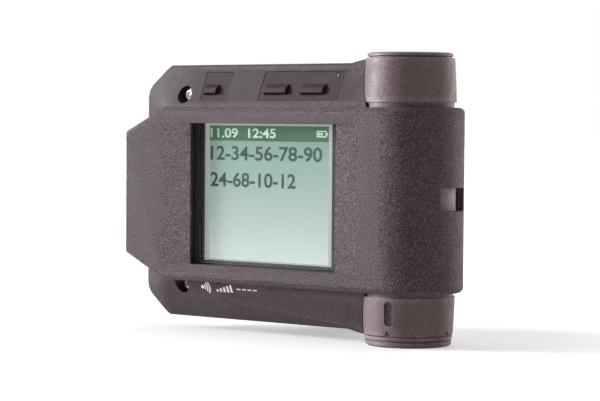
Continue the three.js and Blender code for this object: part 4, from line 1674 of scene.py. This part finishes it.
@dataclass
class Holster:
    """The sleeve that slips over the pager from its tube end, with the stud its clip turns on."""

    inside: float = 9.95
    outside: float = 11.4
    left: float = -73.6
    z: Span = (11.1, 49.6)
    corner: Span = (12.0, 5.6)
    window_x: Span = (-53.0, -11.2)
    window_z: Span = (15.0, 46.0)
    relief: float = 0.65
    relief_x: Span = (-62.0, -4.5)
    notch: Span = (73.0, 131.0)
    notch_z: Span = (28.2, 33.0)
    clip_at: Span = (-32.0, 30.5)
    seat: Span = (12.5, 0.8)
    bevel: float = 1.15
    bevel_ease: float = 0.28
    rim_ease: float = 0.16
    stud_hole: float = 2.68
    foot_room: float = 4.2

    def plates(self) -> Solid:
        """The bent sheet, bevelled all round its outer edge.

        Returns:
            The sheet.
        """
        section = [
            (self.left, -self.outside), *arc((0, 0), self.outside, -90, 90, 180), (self.left, self.outside),
            (self.left, self.inside), *arc((0, 0), self.inside, 90, -90, 180), (self.left, -self.inside),
        ]
        (low, high), (cx, cz), far = self.z, self.corner, self.outside + 5
        outline = [
            (self.left, low + cz), (self.left + cx, low), (far, low),
            (far, high), (self.left + cx, high), (self.left, high - cz),
        ]
        sheet = Solid.column(section, self.z).kept(Solid.slab(outline, (-far, far))).tidied(0.1)

        def rim(edge: bmesh.types.BMEdge) -> float:
            """How far an edge of the sheet's outer rim is bevelled.

            Args:
                edge: The edge.

            Returns:
                Its share of the bevel, less round the bend.
            """
            on_skin = all(self.off_axis(v.co) >= self.outside - 0.05 for v in edge.verts)
            if sharper_than(60)(edge) == 0.0 or not on_skin:
                return 0.0
            middle = middle_of(edge)
            return 1.0 - 0.4 * min(1.0, max(0.0, middle.x) / 6.0)

        chamfered = sheet.eased(self.bevel, rim, 1)

        def brow(edge: bmesh.types.BMEdge) -> float:
            """1 on the two lines that bound the bevel."""
            turn = math.degrees(edge.calc_face_angle(0.0))
            return 1.0 if 25 < turn < 60 and edge.calc_face_angle_signed(0.0) > 0 else 0.0

        return chamfered.eased(self.bevel_ease, brow, 3)

    def off_axis(self, point: Vector) -> float:
        """How far a point is from the middle of the sheet's bend or its plates."""
        return math.hypot(point.x, point.y) if point.x > 0 else abs(point.y)

    def sleeve(self) -> Solid:
        """The whole sleeve with its window, dished flanks, side notch and clip seat.

        Returns:
            The sleeve.
        """
        far = self.outside + 5
        x, z = self.clip_at
        radius, height = self.seat
        seat = Solid.bar(Axis.Y, radius, (x, self.outside - 0.5, z), height + 0.5, 96)
        seat = seat.eased(0.25, sharper_than(60, y_above=self.outside + 0.4), 3)
        window = Solid.box(self.window_x, (-far, 0), self.window_z)
        floor = -self.outside + self.relief
        (start, end), (left, right) = self.relief_x, self.window_x
        dish = Solid.column([
            (start, -far), (end, -far), (end, -self.outside),
            (right, floor), (left, floor), (start, -self.outside),
        ], self.window_z)
        edges = [math.radians(a) for a in (self.notch[0], sum(self.notch) / 2, self.notch[1])]
        wedge = [(0, 0), *((far * math.sin(a), -far * math.cos(a)) for a in edges)]
        notch = Solid.column(wedge, self.notch_z)
        stud_hole = Solid.bar(Axis.Y, self.stud_hole, (x, 0, z), far)
        foot_room = Solid.bar(Axis.Y, self.foot_room, (x, 0, z), self.inside + 0.6)
        made = self.plates().joined(seat).cut(window, dish, notch, stud_hole, foot_room).tidied(0.1)

        def opening(edge: bmesh.types.BMEdge) -> float:
            """Whether an edge is on the rim of the window or the notch.

            Args:
                edge: The edge.

            Returns:
                1 when it is on one, or else 0.
            """
            if sharper_than(50)(edge) == 0.0:
                return 0.0
            middle = middle_of(edge)
            in_window = within(middle.x, self.window_x) and within(middle.z, self.window_z)
            on_window = middle.y < -self.inside - 0.2 and in_window
            in_notch = middle.x > 1 and within(middle.z, self.notch_z)
            on_notch = in_notch and self.off_axis(middle) > self.outside - 0.1
            return 1.0 if on_window or on_notch else 0.0

        return made.eased(self.rim_ease, opening, 2)

    def build(self) -> None:
        """Builds and dresses the holster."""
        set_down("holster_sleeve", self.sleeve(), HOLSTER_PLASTIC, Body.HOLSTER, ["holster_shell"])
        dress("swivel_washer", STEEL)
        dress("swivel_stud", STEEL)


@dataclass
class BeltClip:
    """The sprung clip that turns on the holster's back."""

    x: float = Holster.clip_at[0]
    z: float = Holster.clip_at[1]
    base_y: Span = (12.51, 14.71)
    base_z: Span = (12.5, 50.0)
    base_width: float = 24.0
    lever_y: Span = (19.71, 21.71)
    lever_z: Span = (3.0, 53.0)
    lever_width: float = 22.0
    pivot: Span = (17.21, 45.5)
    ear: float = 2.2
    base_ear: float = 2.2
    lever_ear: float = 2.0
    pin: float = 1.0
    stud: float = 2.6
    stud_head: float = 5.0
    gap: float = 0.3
    base_ease: float = 0.45
    lever_ease: float = 0.55

    def lug(self, inner: float, thickness: float, y: Span) -> Solid:
        """One ear for the pin.

        Args:
            inner: Where it starts along X.
            thickness: How thick it is.
            y: Its depth, up to the pin's centre or from it.

        Returns:
            The ear.
        """
        pivot_y, pivot_z = self.pivot
        foot = Solid.box((inner, inner + thickness), y, around(pivot_z, 2 * self.ear))
        return foot.joined(Solid.bar(Axis.X, self.ear, (inner, pivot_y, pivot_z), thickness))

    def pin_hole(self) -> Solid:
        """The bore that the pin runs in."""
        return Solid.bar(Axis.X, self.pin + 0.08, (self.x - 30, *self.pivot), 60)

    def base(self) -> Solid:
        """The plate that turns on the stud, with two ears.

        Returns:
            The plate.
        """
        half = self.base_width / 2
        rim = sharper_than(60)
        outline = rounded_rectangle(around(self.x, self.base_width), self.base_z, 4, 12)
        plate = Solid.slab(outline, self.base_y).eased(self.base_ease, rim, 3)
        ears = [
            self.lug(x, self.base_ear, (self.base_y[1] - 0.5, self.pivot[0])).eased(0.2, rim, 2)
            for x in (self.x - half, self.x + half - self.base_ear)
        ]
        head_room = Solid.bar(Axis.Y, self.stud_head + 0.3, (self.x, self.base_y[1] - 1.2, self.z), 9, 96)
        shank_room = Solid.bar(Axis.Y, self.stud + 0.08, (self.x, 0, self.z), 40)
        return plate.joined(*ears).cut(head_room, shank_room, self.pin_hole())

    def lever(self) -> Solid:
        """The sprung blade with a hooked foot, thumb ribs and a shallow panel.

        Returns:
            The lever.
        """
        half = self.base_width / 2
        rim = sharper_than(60)
        y0, y1 = self.lever_y
        outline = rounded_rectangle(around(self.x, self.lever_width), self.lever_z, 5, 14)
        blade = Solid.slab(outline, self.lever_y).eased(self.lever_ease, rim, 4)
        hook_y = (self.base_y[1] + self.gap, y0 + 0.5)
        hook = Solid.box(around(self.x, self.lever_width - 2), hook_y, (8.0, 10.6)).eased(0.35, rim, 3)
        inset = half - self.base_ear - self.gap
        ears = [
            self.lug(x, self.lever_ear, (self.pivot[0], y0 + 0.5)).eased(0.2, rim, 2)
            for x in (self.x - inset, self.x + inset - self.lever_ear)
        ]
        heights = [41.5 + 1.7 * i for i in range(6)]
        grooves = [Solid.bar(Axis.X, 0.42, (self.x - 7.5, y1 + 0.12, z), 15, 24) for z in heights]
        panel = Solid.slab(rounded_rectangle(around(self.x, 15), (13.0, 37.0), 3, 10), (y1 - 0.3, y1 + 1))
        return blade.joined(hook, *ears).cut(self.pin_hole(), panel, *grooves)

    def coil(self) -> Solid:
        """A torsion spring wound round the pin.

        Returns:
            The spring.
        """
        length = self.base_width - 2 * (self.base_ear + self.lever_ear + 0.9)
        wire, turns = 0.33, 13
        steps = 18 * turns
        start, run = self.x - length / 2 + wire, length - 2 * wire

        def place(i: int) -> tuple[Vector, Vector]:
            """The wire's middle and its direction outwards after a number of lengths.

            Args:
                i: The number of lengths.

            Returns:
                The two.
            """
            angle = FULL_TURN * turns * i / steps
            out = Vector((0, math.cos(angle), math.sin(angle)))
            return Vector((start + run * i / steps, *self.pivot)) + 1.85 * out, out

        return Solid.wound(Vector((1, 0, 0)), wire, steps, place)

    def build(self) -> None:
        """Builds and dresses the clip."""
        set_down("clip_plate", self.base(), CLIP_PLASTIC, Body.CLIP, ["clip_base"])
        set_down("clip_blade", self.lever(), CLIP_PLASTIC, Body.LEVER, ["clip_lever"])
        set_down("clip_coil", self.coil(), SPRING_STEEL, Body.CLIP, ["clip_spring"], 60)
        left = self.x - self.base_width / 2 - 0.1
        pin = Solid.bar(Axis.X, self.pin, (left, *self.pivot), self.base_width + 0.2, 48)
        set_down("clip_axle", pin.eased(0.15, sharper_than(60), 2), STEEL, Body.CLIP, ["clip_pin"])


@dataclass
class Studio:
    """The pale floor, the lamps and the camera."""

    camera_at: Point = (304.5, -383.5, 47.1)
    target: Point = (-30.32, 0.0, 29.35)
    roll: float = 0.41
    lens: float = 140.6
    room: float = 0.06
    backdrop: float = 0.7
    floor_reach: float = 3.0

    def floor(self) -> None:
        """A wide white floor that goes out with the background but keeps the shadow."""
        mesh = bpy.data.meshes.new("floor")
        reach = self.floor_reach
        corners = [(-reach, -reach, 0), (reach, -reach, 0), (reach, reach, 0), (-reach, reach, 0)]
        mesh.from_pydata(corners, [], [(0, 1, 2, 3)])
        piece = linked("floor", mesh)
        graph = Graph("floor_paper")
        paper = graph.ramp(graph.noise(40.0), WIDE_BAND, (0.88, 0.9))
        shade = graph.add("ShaderNodeCombineColor")
        for channel in ("Red", "Green", "Blue"):
            graph.wire(paper, shade.inputs[channel])
        path = graph.add("ShaderNodeLightPath")
        seen = graph.sum("MAXIMUM", path.outputs["Is Camera Ray"], path.outputs["Is Transmission Ray"])
        seen = graph.sum("MAXIMUM", seen, path.outputs["Is Glossy Ray"])
        far = graph.add("ShaderNodeVectorMath", operation="LENGTH")
        graph.wire(graph.place(), far.inputs[0])
        lift = graph.ramp(far.outputs["Value"], (0.05, 0.2), (0.38, 1.1))
        graph.set(
            Base_Color=shade.outputs[0],
            Roughness=0.9,
            Specular_IOR_Level=0.1,
            Emission_Color=(1.0, 1.0, 1.0),
            Emission_Strength=graph.sum("MULTIPLY", seen, lift),
        )
        mesh.materials.append(graph.material)

    def air(self) -> None:
        """A white backdrop behind the object, and a dimmer room in front of it."""
        world = bpy.data.worlds.new("studio")
        bpy.context.scene.world = world
        world.use_nodes = True
        tree = world.node_tree
        tree.nodes.clear()
        new, wire = tree.nodes.new, tree.links.new
        out = new("ShaderNodeOutputWorld")
        light, white = new("ShaderNodeBackground"), new("ShaderNodeBackground")
        path, mix = new("ShaderNodeLightPath"), new("ShaderNodeMixShader")
        through, most = new("ShaderNodeMath"), new("ShaderNodeMath")
        through.operation = most.operation = "MAXIMUM"
        wire(path.outputs["Is Camera Ray"], through.inputs[0])
        wire(path.outputs["Is Transmission Ray"], through.inputs[1])
        wire(through.outputs[0], most.inputs[0])
        wire(path.outputs["Is Glossy Ray"], most.inputs[1])
        white.inputs["Color"].default_value = (1, 1, 1, 1)
        white.inputs["Strength"].default_value = 1.0
        place, along = new("ShaderNodeTexCoord"), new("ShaderNodeVectorMath")
        level = new("ShaderNodeMapRange")
        along.operation = "DOT_PRODUCT"
        away = (Vector(self.target) - Vector(self.camera_at)).normalized()
        along.inputs[1].default_value = away
        wire(place.outputs["Generated"], along.inputs[0])
        wire(along.outputs["Value"], level.inputs["Value"])
        for socket, value in zip(RANGE_INPUTS, (0.15, 0.7, self.room, self.backdrop)):
            level.inputs[socket].default_value = value
        level.interpolation_type = "SMOOTHSTEP"
        wire(level.outputs["Result"], light.inputs["Strength"])
        light.inputs["Color"].default_value = (1, 0.985, 0.975, 1)
        wire(most.outputs[0], mix.inputs[0])
        wire(light.outputs[0], mix.inputs[1])
        wire(white.outputs[0], mix.inputs[2])
        wire(mix.outputs[0], out.inputs["Surface"])

    def lamp(
        self,
        name: str,
        at: Point,
        size: Span,
        power: float,
        colour: Colour,
        aim: Point = (-32, 0, 30),
        spread: float = 180,
    ) -> None:
        """A soft lamp that faces the object.

        Args:
            name: The lamp's name.
            at: Where it stands, in millimetres from the tube's foot.
            size: Its width and height, in metres.
            power: Its power, in watts.
            colour: Its colour.
            aim: The point it faces, in millimetres from the tube's foot.
            spread: The angle of its beam, in degrees.
        """
        data = bpy.data.lights.new(name, "AREA")
        data.spread = math.radians(spread)
        data.shape = "RECTANGLE"
        data.size, data.size_y = size
        data.energy = power
        data.color = colour
        piece = linked(name, data)
        piece.location = to_frame(*at)
        towards = to_frame(*aim) - piece.location
        piece.rotation_euler = towards.to_track_quat("-Z", "Y").to_euler()

    def camera(self) -> None:
        """The camera, a long way off with a long lens, a little above the floor."""
        data = bpy.data.cameras.new("camera")
        data.lens = self.lens
        data.sensor_width = 36.0
        piece = linked("camera", data)
        piece.location = to_frame(*self.camera_at)
        forward = (to_frame(*self.target) - piece.location).normalized()
        across = forward.cross(Vector((0, 0, 1))).normalized()
        up = across.cross(forward)
        angle = math.radians(self.roll)
        right = across * math.cos(angle) + up * math.sin(angle)
        above = right.cross(forward)
        piece.rotation_euler = Matrix((right, above, -forward)).transposed().to_euler()
        data.clip_start, data.clip_end = 0.05, 20
        bpy.context.scene.camera = piece

    def build(self) -> None:
        """Sets up the whole studio."""
        self.floor()
        self.air()
        self.lamp("side_light", (-640, -370, 230), (0.3, 0.4), 0.82, (0.93, 0.95, 1.0), (20, 0, 64), 36)
        self.lamp("rim_light", (150, 720, 80), (0.3, 0.3), 1.5, (1.0, 0.88, 0.80))
        self.lamp("top_light", (60, 120, 620), (0.7, 0.7), 1.3, (1.0, 0.97, 0.95))
        self.camera()
        bpy.context.scene.view_settings.view_transform = "Standard"


def main() -> None:
    """Builds every sub-assembly and the studio round them."""
    logging.basicConfig(level=logging.INFO, format="%(name)s: %(message)s")
    casing = Casing()
    casing.build()
    for part in (DisplayStack(), Keypad(casing), CellTube(), Innards(), Holster(), BeltClip(), Studio()):
        part.build()


if __name__ == "__main__":
    main()
